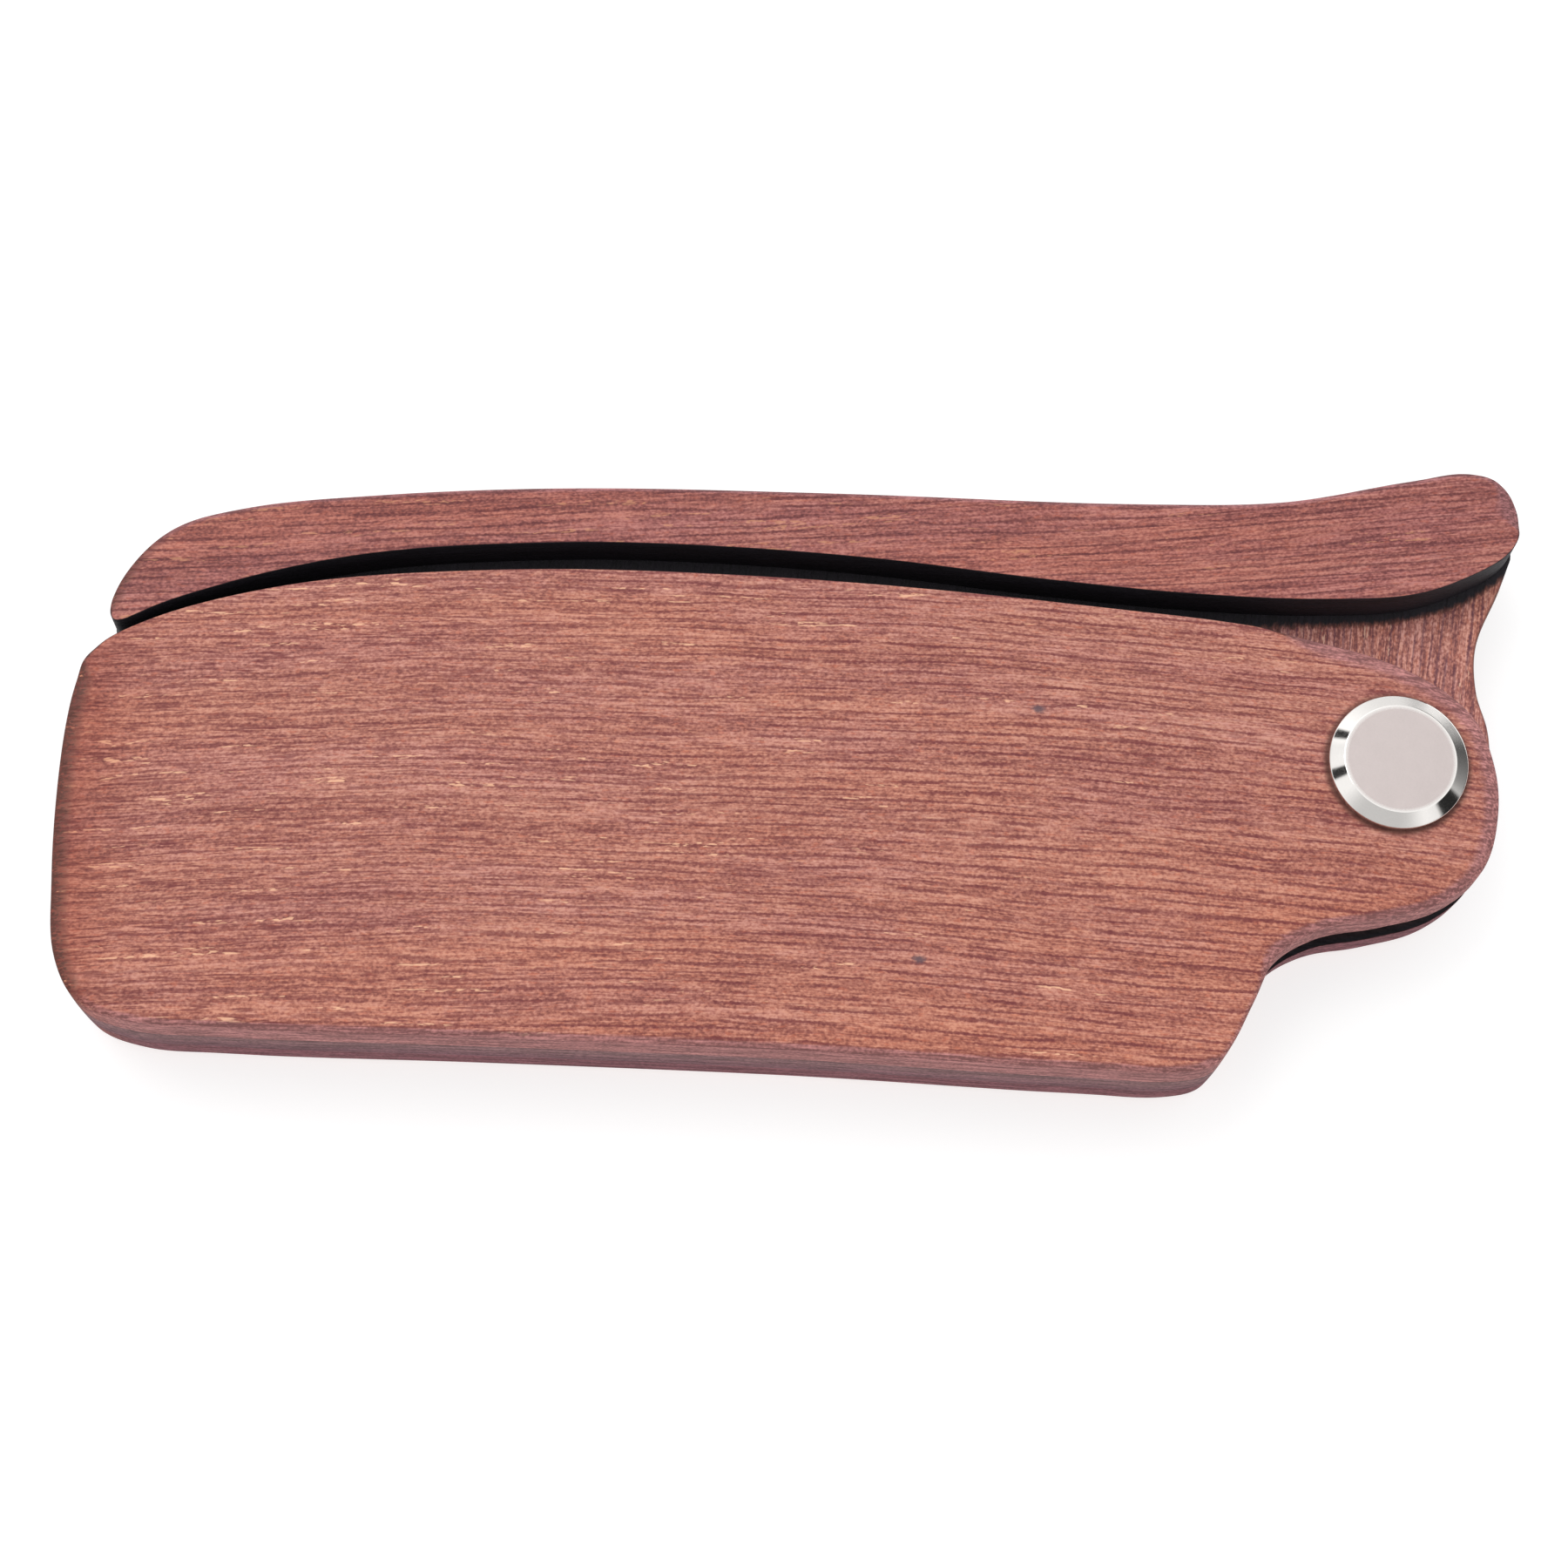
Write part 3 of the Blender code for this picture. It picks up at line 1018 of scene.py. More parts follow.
def read_borders(node: str, level: float, corner_degrees: float = CORNER_DEGREES) -> list[Outline]:
    """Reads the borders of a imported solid's flat face.

    Args:
        node: The solid's name.
        level: The height of the face.
        corner_degrees: The turn above which a point is a sharp corner.

    Returns:
        The closed borders, the longest first.
    """
    shape = bmesh.new()
    shape.from_mesh(frame["nodes"][node].data)
    bmesh.ops.remove_doubles(shape, verts=shape.verts, dist=WELD)
    # The border's edges are those that only one of the flat face's triangles has
    face_set = {
        face for face in shape.faces if all(abs(corner.co.z - level) < LEVEL_SLACK for corner in face.verts)
    }
    links: dict[bmesh.types.BMVert, list[bmesh.types.BMVert]] = {}
    for edge in shape.edges:
        if len(face_set.intersection(edge.link_faces)) == 1:
            first, second = edge.verts
            links.setdefault(first, []).append(second)
            links.setdefault(second, []).append(first)
    borders = []
    while links:
        start = next(iter(links))
        path = [start]
        while True:
            here = path[-1]
            onward = [vertex for vertex in links.pop(here) if vertex in links]
            if not onward:
                break
            path.append(onward[0])
        borders.append(Outline([vertex.co.xy for vertex in path], corner_degrees))
    shape.free()
    return sorted(borders, key=lambda border: -len(border.points) - border.points[0].length)


@dataclass(frozen=True)
class RimRule:
    """How wide and deep a board's rounding is, by the way that its side faces, and how dusty it is.

    The first four values are the widths on sides that face right, up, left and down. A side that faces
    left is flatter and nearly clean, and near a sharp corner the rounding narrows.
    """

    right: float
    up: float
    left: float
    down: float
    depth_share: float
    left_flatness: float
    corner_share: float
    corner_fade: float
    burnt: float = 0.10 * MM
    deepest: float = 0.9 * MM
    left_rise: Span = (0.45, 0.95)
    left_cleaning: float = 0.85

    def width(self, outward: Vector, burnt: float, to_corner: float) -> float:
        """Gives the rounding's width.

        Args:
            outward: The way that the side faces.
            burnt: How burnt the side is, for a burnt one is hardly rounded.
            to_corner: The distance to the nearest sharp corner, where the rounding narrows.

        Returns:
            The width.
        """
        across = self.right if outward.x > 0 else self.left
        along = self.up if outward.y > 0 else self.down
        width = across * outward.x**2 + along * outward.y**2
        width *= min(1.0, self.corner_share + to_corner / self.corner_fade)
        return width * (1 - burnt) + self.burnt * burnt

    def leftness(self, outward: Vector) -> float:
        """Tells how squarely a side faces left, from 0 to 1."""
        return ease(*self.left_rise, -outward.x)

    def depth(self, width: float, leftness: float) -> float:
        """Gives the depth of a rounding, which is flat on a side that faces left."""
        return min(width * (self.depth_share - self.left_flatness * leftness), self.deepest)

    def sanded(self, burnt: float, leftness: float) -> float:
        """Tells how dusty a side is: clean where it is burnt, and nearly clean where it faces left."""
        return (1.0 - burnt) * (1.0 - self.left_cleaning * leftness)


@dataclass
class Stack:
    """The levels of the glued layers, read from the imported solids."""

    back: float
    front: float
    blade_low: float
    blade_high: float
    plate_low: float
    plate_high: float
    belly: float = 0.10 * MM

    @classmethod
    def from_frame(cls) -> "Stack":
        """Reads the levels.

        Returns:
            The stack.
        """
        back, plate_low = levels("back_plate")
        plate_high, front = levels("front_plate")
        blade_low, blade_high = levels("comb_blade")
        return cls(back, front, blade_low, blade_high, plate_low, plate_high)

    def belly_inset(self, level: float) -> float:
        """Gives how far a sanded side lies back from its fullest line, halfway through the stack."""
        middle = (self.front + self.back) / 2
        return self.belly * ((level - middle) / (self.front - middle)) ** 2


@dataclass
class Edge:
    """What a board's side is like at one point of its border."""

    width: float
    depth: float
    belly: float
    sanded: float
    burnt: float
    scorch: float = 0.0

    def evened(self, before: "Edge", after: "Edge") -> "Edge":
        """Evens out the side's sizes: this point's counts twice and its two neighbours' once each.

        Args:
            before: The side at the point before.
            after: The side at the point after.

        Returns:
            The evened side.
        """
        sizes = {}
        for name in ("width", "depth", "belly"):
            sizes[name] = (getattr(before, name) + 2 * getattr(self, name) + getattr(after, name)) / 4
        return replace(self, **sizes)


Point = tuple[Vector, float, float, float]
Row = list[bmesh.types.BMVert]
EdgeRule = Callable[[Outline, int, float], Edge]


@dataclass
class Board:
    """A flat board with a border, a bore and rounded rims.

    It is built from rings of points, from the low face's rim up the side to the high face's rim, and
    each face is filled between its rim and the bore. An inner face, which lies on another board, has
    no rounding and a burnt edge.
    """

    name: str
    border: Outline
    low: float
    high: float
    stack: Stack
    edge: EdgeRule
    bore: Outline | None = None
    round_low: bool = False
    round_high: bool = False
    round_steps: int = 7
    wall_steps: int = 4
    hold: float = 0.22 * MM
    inner_ease: float = 0.05 * MM
    soft_reach: float = 1.0 * MM
    soft_passes: int = 5
    evening_passes: int = 6
    fire_fade: Span = (0.7, 0.4)
    least_miter: float = 0.5

    def build(self, finish: bpy.types.Material) -> bpy.types.Object:
        """Builds the board's mesh.

        Args:
            finish: Its material.

        Returns:
            The new object, with the attributes sanded, burnt and scorch on its points.
        """
        rings = self._rings()
        shape = bmesh.new()
        layers = [shape.verts.layers.float.new(name) for name in WEAR_NAMES]
        grid = []
        for ring in rings:
            row = []
            for place, *values in ring:
                vertex = shape.verts.new(place)
                for layer, value in zip(layers, values):
                    vertex[layer] = value
                row.append(vertex)
            grid.append(row)
        for below, above in zip(grid, grid[1:]):
            self._join(shape, below, above)
        for rows in zip((grid[0], grid[-1]), self._bore_rows(shape)):
            self._fill(shape, rows)
        bmesh.ops.remove_doubles(shape, verts=shape.verts, dist=WELD)
        bmesh.ops.recalc_face_normals(shape, faces=shape.faces)
        return finish_mesh(self.name, shape, finish)

    def _rings(self) -> list[list[Point]]:
        """Works out the rings of points from the low face, up the side, to the high face.

        Returns:
            The rings, from low to high.
        """
        distances = self.border.corner_distance()
        self.border = self.border.softened(self.soft_reach, self.soft_passes)
        edges = [self.edge(self.border, index, distance) for index, distance in enumerate(distances)]
        edges = self._evened(edges)
        low_rings = self._end_rings(edges, self.low, 1, self.round_low)
        high_rings = self._end_rings(edges, self.high, -1, self.round_high)
        return low_rings[::-1] + self._wall_rings(edges) + high_rings

    def _end_rings(self, edges: list[Edge], level: float, inward: int, rounded: bool) -> list[list[Point]]:
        """Works out how the side meets a face: by a rounding, or at a burnt inner face's edge.

        Args:
            edges: The side at each point of the border.
            level: The face's height.
            inward: 1 where the board lies above the face, -1 where it lies below.
            rounded: Whether the side is rounded there.

        Returns:
            The rings, from the side to the face.
        """
        if rounded:
            return self._face_rings(edges, level, inward)
        ring = [self._at(index, edge, self.inner_ease, level, ALL_BURNT) for index, edge in enumerate(edges)]
        return [ring]

    def _evened(self, edges: list[Edge]) -> list[Edge]:
        """Evens out the roundings along the border, so that no width jumps.

        Args:
            edges: The side at each point of the border.

        Returns:
            The evened sides.
        """
        for _ in range(self.evening_passes):
            rows = zip(edges[-1:] + edges[:-1], edges, edges[1:] + edges[:1])
            edges = [here.evened(before, after) for before, here, after in rows]
        return edges

    def _wall_rings(self, edges: list[Edge]) -> list[list[Point]]:
        """Works out the side between the roundings.

        Args:
            edges: The side at each point of the border.

        Returns:
            The rings, from low to high.
        """
        rings = []
        for step in range(self.wall_steps + 1):
            share = step / self.wall_steps
            ring = []
            for index, edge in enumerate(edges):
                low = self.low + (edge.depth if self.round_low else 0.0)
                high = self.high - (edge.depth if self.round_high else 0.0)
                level = low + (high - low) * share
                ring.append(self._at(index, edge, 0.0, level, (edge.sanded, edge.burnt, edge.scorch)))
            rings.append(ring)
        return rings

    def _face_rings(self, edges: list[Edge], level: float, inward: int) -> list[list[Point]]:
        """Works out one rounding and the ring that holds the flat face, from the side to the face.

        Args:
            edges: The side at each point of the border.
            level: The face's height.
            inward: 1 where the board lies above the face, -1 where it lies below.

        Returns:
            The rings.
        """
        rings = []
        for step in range(1, self.round_steps + 1):
            share = step / self.round_steps
            angle = math.pi / 2 * share
            fade = 1 - share**2
            ring = []
            for index, edge in enumerate(edges):
                inset = edge.width * (1 - math.cos(angle))
                height = level + inward * edge.depth * (1 - math.sin(angle))
                wear = (edge.sanded * fade, edge.burnt * ease(*self.fire_fade, share), edge.scorch * fade)
                ring.append(self._at(index, edge, inset, height, wear))
            rings.append(ring)
        insets = [edge.width + min(self.hold, edge.width) for edge in edges]
        rows = enumerate(zip(edges, insets))
        rings.append([self._at(index, edge, inset, level, NO_WEAR) for index, (edge, inset) in rows])
        return rings

    def _at(self, index: int, edge: Edge, inset: float, level: float, wear: Triple) -> Point:
        """Places one point at an inset from the border, with the sanded side's belly.

        Args:
            index: The point of the border.
            edge: The side there.
            inset: How far inside the border the new point lies.
            level: Its height.
            wear: How sanded, burnt and scorched it is.

        Returns:
            The new point and its wear.
        """
        into, out = self.border.around(index)
        first = Vector((into.y, -into.x)).normalized()
        second = Vector((out.y, -out.x)).normalized()
        miter = (first + second) / max(1.0 + first.dot(second), self.least_miter)
        back = inset + self.stack.belly_inset(level) * edge.belly
        spot = self.border.points[index] - miter * back
        return Vector((spot.x, spot.y, level)), *wear

    def _bore_rows(self, shape: bmesh.types.BMesh) -> list[Row]:
        """Builds the bore's wall and gives its low and high row, both empty where there is no bore.

        Args:
            shape: The shape that is being built.

        Returns:
            The two rows.
        """
        if not self.bore:
            return [[], []]
        rows = []
        for level in (self.low, self.high):
            rows.append([shape.verts.new((*point, level)) for point in self.bore.points])
        self._join(shape, *reversed(rows))
        return rows

    @staticmethod
    def _join(shape: bmesh.types.BMesh, below: Row, above: Row) -> None:
        """Joins two closed rows of points with a band of faces.

        Args:
            shape: The shape that is being built.
            below: One row.
            above: The other row, with as many points.
        """
        for (low, high), (next_low, next_high) in ring_pairs(list(zip(below, above))):
            shape.faces.new((low, next_low, next_high, high))

    @staticmethod
    def _fill(shape: bmesh.types.BMesh, rows: Sequence[Row]) -> None:
        """Fills the face between a border and the bore's rim.

        Args:
            shape: The shape that is being built.
            rows: The border's row and the rim's, which may be empty.
        """
        edges = []
        for row in rows:
            edges += [shape.edges.get(pair) or shape.edges.new(pair) for pair in ring_pairs(row)]
        bmesh.ops.triangle_fill(shape, use_beauty=True, use_dissolve=False, edges=edges)


def add_object(name: str, data: bpy.types.ID) -> bpy.types.Object:
    """Puts a new object into the scene.

    Args:
        name: Its name.
        data: Its mesh, camera or light.

    Returns:
        The new object.
    """
    thing = bpy.data.objects.new(name, data)
    bpy.context.scene.collection.objects.link(thing)
    return thing


def finish_mesh(
    name: str, shape: bmesh.types.BMesh, finish: bpy.types.Material, sharp_degrees: float = 40.0
) -> bpy.types.Object:
    """Turns a built shape into an object at the origin.

    Args:
        name: The object's name.
        shape: The shape, which is freed.
        finish: Its material.
        sharp_degrees: The angle above which an edge is shaded sharp.

    Returns:
        The new object.
    """
    mesh = bpy.data.meshes.new(name)
    shape.to_mesh(mesh)
    shape.free()
    mesh.shade_smooth()
    mesh.set_sharp_from_angle(angle=math.radians(sharp_degrees))
    mesh.materials.append(finish)
    return add_object(name, mesh)


def attach(piece: bpy.types.Object, body: Body, slot: str, *nodes: str) -> None:
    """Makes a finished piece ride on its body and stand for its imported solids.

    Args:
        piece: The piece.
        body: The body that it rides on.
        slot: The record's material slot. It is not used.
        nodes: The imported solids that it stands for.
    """
    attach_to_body(piece, body.value)
    if nodes:
        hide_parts(*nodes)
    LOG.info("%s: %d points, rides on %s", piece.name, len(piece.data.vertices), body.value)


@dataclass
class Handle:
    """The two plates and the spacer between them."""

    stack: Stack
    finish: WoodFinish
    spacer_finish: WoodFinish
    pivot: Vector
    step: float = 0.3 * MM
    rims: RimRule = RimRule(
        right=1.7 * MM,
        up=1.9 * MM,
        left=1.4 * MM,
        down=0.55 * MM,
        depth_share=0.8,
        left_flatness=0.55,
        corner_share=0.1,
        corner_fade=1.5 * MM,
    )
    cut_faces: Span = (0.35, 0.75)
    cut_fades: Span = (-10.0 * MM, -5.0 * MM)
    crisp_faces: Span = (0.5, 0.85)
    crisp_below: Span = (-14.0 * MM, -17.0 * MM)
    crisp_narrowing: float = 0.65
    crisp_cleaning: float = 0.5

    def edge(self, border: Outline, index: int, to_corner: float) -> Edge:
        """Describes the handle's side: sanded, but burnt in the cut and crisp at the slanted end.

        Args:
            border: The border that the side stands on.
            index: The point of the border.
            to_corner: The point's distance to the nearest sharp corner.

        Returns:
            The side's shape and wear there.
        """
        outward, place = border.outward(index), border.points[index]
        burnt = ease(*self.cut_faces, outward.y) * (1 - ease(*self.cut_fades, place.x - self.pivot.x))
        left = self.rims.leftness(outward)
        crisp = ease(*self.crisp_below, place.y - self.pivot.y) * ease(*self.crisp_faces, outward.x)
        width = self.rims.width(outward, burnt, to_corner) * (1.0 - self.crisp_narrowing * crisp)
        sanded = self.rims.sanded(burnt, left) * (1.0 - self.crisp_cleaning * crisp)
        return Edge(width, self.rims.depth(width, left), 1.0, sanded, burnt, left)

    def build(self) -> None:
        """Builds the plates and the spacer, and sets them on the handle's body."""
        wood = self.finish.material()
        for side in Side:
            node = f"{side.value}_plate"
            front = side is Side.FRONT
            low, high = levels(node)
            outer, bore = read_borders(node, low if front else high)[:2]
            board = Board(
                name=f"handle_{side.value}_board",
                border=outer.refined(self.step),
                low=low,
                high=high,
                stack=self.stack,
                edge=self.edge,
                bore=bore,
                round_low=not front,
                round_high=front,
            )
            attach(board.build(wood), Body.HANDLE, "plate_wood", node)
        self._build_spacer()

    def _build_spacer(self) -> None:
        """Builds the spacer, which fills the space up to both plates."""
        outer = read_borders("spacer", levels("spacer")[0])[0]
        board = Board(
            name="handle_spacer_strip",
            border=outer.refined(self.step),
            low=self.stack.plate_low,
            high=self.stack.plate_high,
            stack=self.stack,
            edge=self.edge,
        )
        attach(board.build(self.spacer_finish.material()), Body.HANDLE, "spacer_wood", "spacer")


@dataclass
class Spine:
    """The front and back strips along the comb's spine, with the up-swept tail."""

    stack: Stack
    finish: WoodFinish
    step: float = 0.25 * MM
    rims: RimRule = RimRule(
        right=2.3 * MM,
        up=0.5 * MM,
        left=1.0 * MM,
        down=0.10 * MM,
        depth_share=0.75,
        left_flatness=0.4,
        corner_share=0.05,
        corner_fade=2.5 * MM,
    )
    burnt_faces: Span = (-0.02, -0.30)
    belly_fade: float = 9.0 * MM
    left_scorch: float = 0.8
    tip_soft_reach: float = 2.6 * MM
    tip_soft_passes: int = 26

    def edge(self, border: Outline, index: int, to_corner: float) -> Edge:
        """Describes a strip's side: sanded along the spine, burnt along the lower edge.

        Args:
            border: The border that the side stands on.
            index: The point of the border.
            to_corner: The point's distance to the nearest sharp corner.

        Returns:
            The side's shape and wear there.
        """
        outward = border.outward(index)
        burnt = ease(*self.burnt_faces, outward.y)
        left = self.rims.leftness(outward)
        width = self.rims.width(outward, burnt, to_corner)
        belly = max(1.0 - burnt, ease(self.belly_fade, 0.0, to_corner))
        scorch = self.left_scorch * left
        return Edge(width, self.rims.depth(width, left), belly, self.rims.sanded(burnt, left), burnt, scorch)

    def build(self) -> None:
        """Builds both strips and sets them on the comb's body."""
        wood = self.finish.material()
        for side in Side:
            node = f"{side.value}_strip"
            front = side is Side.FRONT
            low, high = levels(node)
            outer = read_borders(node, low if front else high)[0]
            board = Board(
                name=f"spine_{side.value}_strip",
                border=outer.refined(self.step),
                low=self.stack.blade_high if front else low,
                high=high if front else self.stack.blade_low,
                stack=self.stack,
                edge=self.edge,
                round_low=not front,
                round_high=front,
                soft_reach=self.tip_soft_reach,
                soft_passes=self.tip_soft_passes,
            )
            attach(board.build(wood), Body.COMB, "strip_wood", node)

    @staticmethod
    def inner_border() -> Outline:
        """Reads the border of the front strip's inner face, which lies on the blade."""
        return read_borders("front_strip", levels("front_strip")[0])[0]

    @classmethod
    def lower_edge(
        cls, count: int = 14, margins: Span = (0.4 * MM, 0.2 * MM), crowding: float = 1.5
    ) -> tuple[Span, ...]:
        """Reads the lower edge's course from the left tip to the tail.

        Args:
            count: How many places are read.
            margins: How far the outer two lie inside the strip's ends.
            crowding: How much closer the places are near the tail.

        Returns:
            The places, in millimetres.
        """
        low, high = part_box("front_strip")
        border = cls.inner_border()
        first, last = low.x + margins[0], high.x - margins[1]
        shares = [1 - (1 - step / (count - 1)) ** crowding for step in range(count)]
        places = [first + (last - first) * share for share in shares]
        return tuple((x / MM, border.lowest(x) / MM) for x in places)


@dataclass
class ToothedBlade:
    """The comb's middle layer: a board whose lower side carries the row of teeth."""

    stack: Stack
    finish: WoodFinish
    pivot: Vector
    tooth_count: int = 36
    pitch: float = 2.0 * MM
    root_width: float = 1.2 * MM
    tip_width: float = 0.8 * MM
    tip_thickness: float = 1.3 * MM
    first_tooth: float = -17.6 * MM
    root_drop: float = 5.0 * MM
    tip_height: float = -16.8 * MM
    tip_bow: float = 1.8 * MM
    bury: float = 0.5 * MM
    step: float = 0.3 * MM
    edge_round: float = 0.25 * MM
    least_round: float = 0.01 * MM
    corner_degrees: float = 60.0
    corner_fade: float = 1.0 * MM
    toothed_margin: float = 0.6
    root_margin: float = 0.25
    free_rise: Span = (0.1 * MM, 0.8 * MM)
    burnt_rise: Span = (2.0 * MM, -1.0 * MM)
    free_scorch: float = 0.7
    face_hold: float = 0.1 * MM

    def build(self) -> None:
        """Builds the board and the teeth, and sets them on the comb's body."""
        wood = self.finish.material()
        low, high = levels("comb_blade")
        outer, bore = read_borders("comb_blade", high, self.corner_degrees)[:2]
        strip = Spine.inner_border()
        roots = self._roots(strip)
        kept = [point for point in outer.points if self._above_teeth(point, strip)]
        board = Board(
            name="comb_blade_board",
            border=Outline(kept, self.corner_degrees).refined(self.step),
            low=low,
            high=high,
            stack=self.stack,
            edge=self._edge_rule(strip.refined(self.step)),
            bore=bore,
            round_low=True,
            round_high=True,
            round_steps=3,
            wall_steps=2,
            hold=self.face_hold,
            soft_passes=2,
        )
        attach(board.build(wood), Body.COMB, "blade_wood", "comb_blade")
        teeth = ToothRow("comb_teeth", roots, self, high - low).build(wood, (low + high) / 2)
        attach(teeth, Body.COMB, "blade_wood", "comb_blade")

    def _tooth_x(self, number: int) -> float:
        """Gives a tooth's place along the handle."""
        return self.pivot.x + self.first_tooth - self.pitch * number

    def _root_level(self, x: float, strip: Outline) -> float:
        """Gives the level of the round roots' centres."""
        return strip.lowest(x) - self.root_drop - (self.pitch - self.root_width) / 2

    def _above_teeth(self, point: Vector, strip: Outline) -> bool:
        """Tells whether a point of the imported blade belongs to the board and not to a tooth.

        Args:
            point: The point.
            strip: The strips' border.

        Returns:
            True for a point of the board.
        """
        right = self._tooth_x(0) + self.pitch
        left = self._tooth_x(self.tooth_count - 1) - self.pitch
        if not left < point.x < right:
            return True
        return point.y > self._root_level(point.x, strip) - self.pitch * self.root_margin

    def _roots(self, strip: Outline) -> list[tuple[Vector, float]]:
        """Works out each tooth's root, buried in the board, and its length from there.

        Args:
            strip: The strips' border.

        Returns:
            Each root's place and the tooth's length.
        """
        span = self.pitch * (self.tooth_count - 1)
        middle = self.pivot.x + self.first_tooth - span / 2
        roots = []
        for number in range(self.tooth_count):
            x = self._tooth_x(number)
            bow = self.tip_bow * ((x - middle) / (span / 2)) ** 2
            tip = self.pivot.y + self.tip_height + bow
            root = self._root_level(x, strip) + self.bury
            roots.append((Vector((x, root)), root - tip))
        return roots

    def _edge_rule(self, strip: Outline) -> EdgeRule:
        """Makes the rule for the blade's side: eased and burnt where it stands free of the strips.

        Args:
            strip: The strips' border, with points close together.

        Returns:
            The rule.
        """
        teeth_right = self._tooth_x(0) + self.pitch * self.toothed_margin
        teeth_left = self._tooth_x(self.tooth_count - 1) - self.pitch * self.toothed_margin

        def rule(border: Outline, index: int, to_corner: float) -> Edge:
            """Describes the side at one point.

            Args:
                border: The blade's border.
                index: The point of the border.
                to_corner: The point's distance to the nearest sharp corner.

            Returns:
                The side's shape and wear there.
            """
            place = border.points[index]
            if teeth_left < place.x < teeth_right and place.y < strip.lowest(place.x):
                return Edge(self.least_round, self.least_round, 0.0, 0.0, 0.0)
            free = ease(*self.free_rise, strip.distance(place))
            width = self.edge_round * free * min(1.0, to_corner / self.corner_fade) + self.least_round
            burnt = free * ease(*self.burnt_rise, place.y - self.pivot.y)
            return Edge(width, width, 1.0 - free, 1.0 - free, burnt, free * self.free_scorch)

        return rule


@dataclass
class ToothRow:
    """A row of tapered teeth, made by a geometry tree with one tooth at each root."""

    LENGTH_NAME: ClassVar[str] = "tooth_length"

    name: str
    roots: list[tuple[Vector, float]]
    blade: ToothedBlade
    root_thickness: float
    sides: int = 20
    rings: int = 16
    squareness: float = 5.0
    tip_round: float = 0.75 * MM
    root_inset: float = 0.02 * MM
    taper_power: float = 3.0

    def build(self, finish: bpy.types.Material, level: float) -> bpy.types.Object:
        """Builds the row as a plain mesh.

        Args:
            finish: The teeth's material.
            level: The height of the blade's middle.

        Returns:
            The new object.
        """
        mesh = bpy.data.meshes.new(self.name + "_roots")
        mesh.from_pydata([(place.x, place.y, level) for place, _ in self.roots], [], [])
        length = mesh.attributes.new(self.LENGTH_NAME, "FLOAT", "POINT")
        length.data.foreach_set("value", [long for _, long in self.roots])
        host = add_object(self.name, mesh)
        modifier = host.modifiers.new("teeth", "NODES")
        modifier.node_group = self._tree()
        values = {
            "Root Width": self.blade.root_width,
            "Tip Width": self.blade.tip_width,
            "Root Thickness": self.root_thickness - self.root_inset,
            "Tip Thickness": self.blade.tip_thickness,
            "Tip Round": self.tip_round / (sum(long for _, long in self.roots) / len(self.roots)),
            "Squareness": self.squareness,
            "Sides": self.sides,
            "Rings": self.rings,
            "Material": finish,
        }
        for item in modifier.node_group.interface.items_tree:
            if item.name in values:
                modifier[item.identifier] = values[item.name]
        return plain_mesh(host)

    def _tree(self) -> bpy.types.NodeTree:
        """Builds the tree: a tooth of unit length, placed at each root and drawn out to its length.

        Returns:
            The tree.
        """
        tree = bpy.data.node_groups.new("tooth_row", "GeometryNodeTree")
        face = tree.interface
        face.new_socket("Geometry", in_out="INPUT", socket_type="NodeSocketGeometry")
        face.new_socket("Geometry", in_out="OUTPUT", socket_type="NodeSocketGeometry")
        sizes = ("Root Width", "Tip Width", "Root Thickness", "Tip Thickness", "Tip Round", "Squareness")
        kinds = dict.fromkeys(sizes, "Float") | {"Sides": "Int", "Rings": "Int", "Material": "Material"}
        for label, kind in kinds.items():
            face.new_socket(label, in_out="INPUT", socket_type="NodeSocket" + kind)

        sheet = NodeSheet(tree)
        given = sheet.add("NodeGroupInput", {}, {}).socket.node
        value = {socket.name: Signal(sheet, socket) for socket in given.outputs if socket.name}
        counts = {"Vertices X": value["Sides"] + 1, "Vertices Y": value["Rings"] + 1}
        grid = sheet.add("GeometryNodeMeshGrid", {}, {"Size X": 1.0, "Size Y": 1.0} | counts)
        moved = {"Geometry": grid, "Position": self._tooth_place(sheet, value)}
        shaped = sheet.add("GeometryNodeSetPosition", {}, moved)
        closed = sheet.add("GeometryNodeMergeByDistance", {}, {"Geometry": shaped, "Distance": WELD})
        smooth = sheet.add("GeometryNodeSetShadeSmooth", {}, {"Geometry": closed})
        named = {"Name": self.LENGTH_NAME}
        drawn = sheet.add("GeometryNodeInputNamedAttribute", {"data_type": "FLOAT"}, named)
        at_roots = {"Points": value["Geometry"], "Instance": smooth, "Scale": sheet.point(1.0, drawn, 1.0)}
        placed = sheet.add("GeometryNodeInstanceOnPoints", {}, at_roots)
        real = sheet.add("GeometryNodeRealizeInstances", {}, {"Geometry": placed})
        dress = {"Geometry": real, "Material": value["Material"]}
        dressed = sheet.add("GeometryNodeSetMaterial", {}, dress)
        out = tree.nodes.new("NodeGroupOutput")
        tree.links.new(dressed.socket, out.inputs["Geometry"])
        return tree

    def _tooth_place(self, sheet: NodeSheet, value: dict[str, Signal]) -> Signal:
        """Bends a unit grid into a tooth that points down: a rounded box section that tapers to its tip.

        Args:
            sheet: The sheet that the nodes go on.
            value: The tree's inputs by name.

        Returns:
            Each grid point's place on the tooth.
        """
        across, along, _ = sheet.parts(sheet.add("GeometryNodeInputPosition", {}, {}))
        # The section is a circle that is filled out towards a box
        angle = (across + 0.5) * math.tau
        cosine, sine = angle.cosine(), angle.sine()
        power = value["Squareness"]
        fullness = (abs(cosine) ** power + abs(sine) ** power) ** (-1.0 / power)
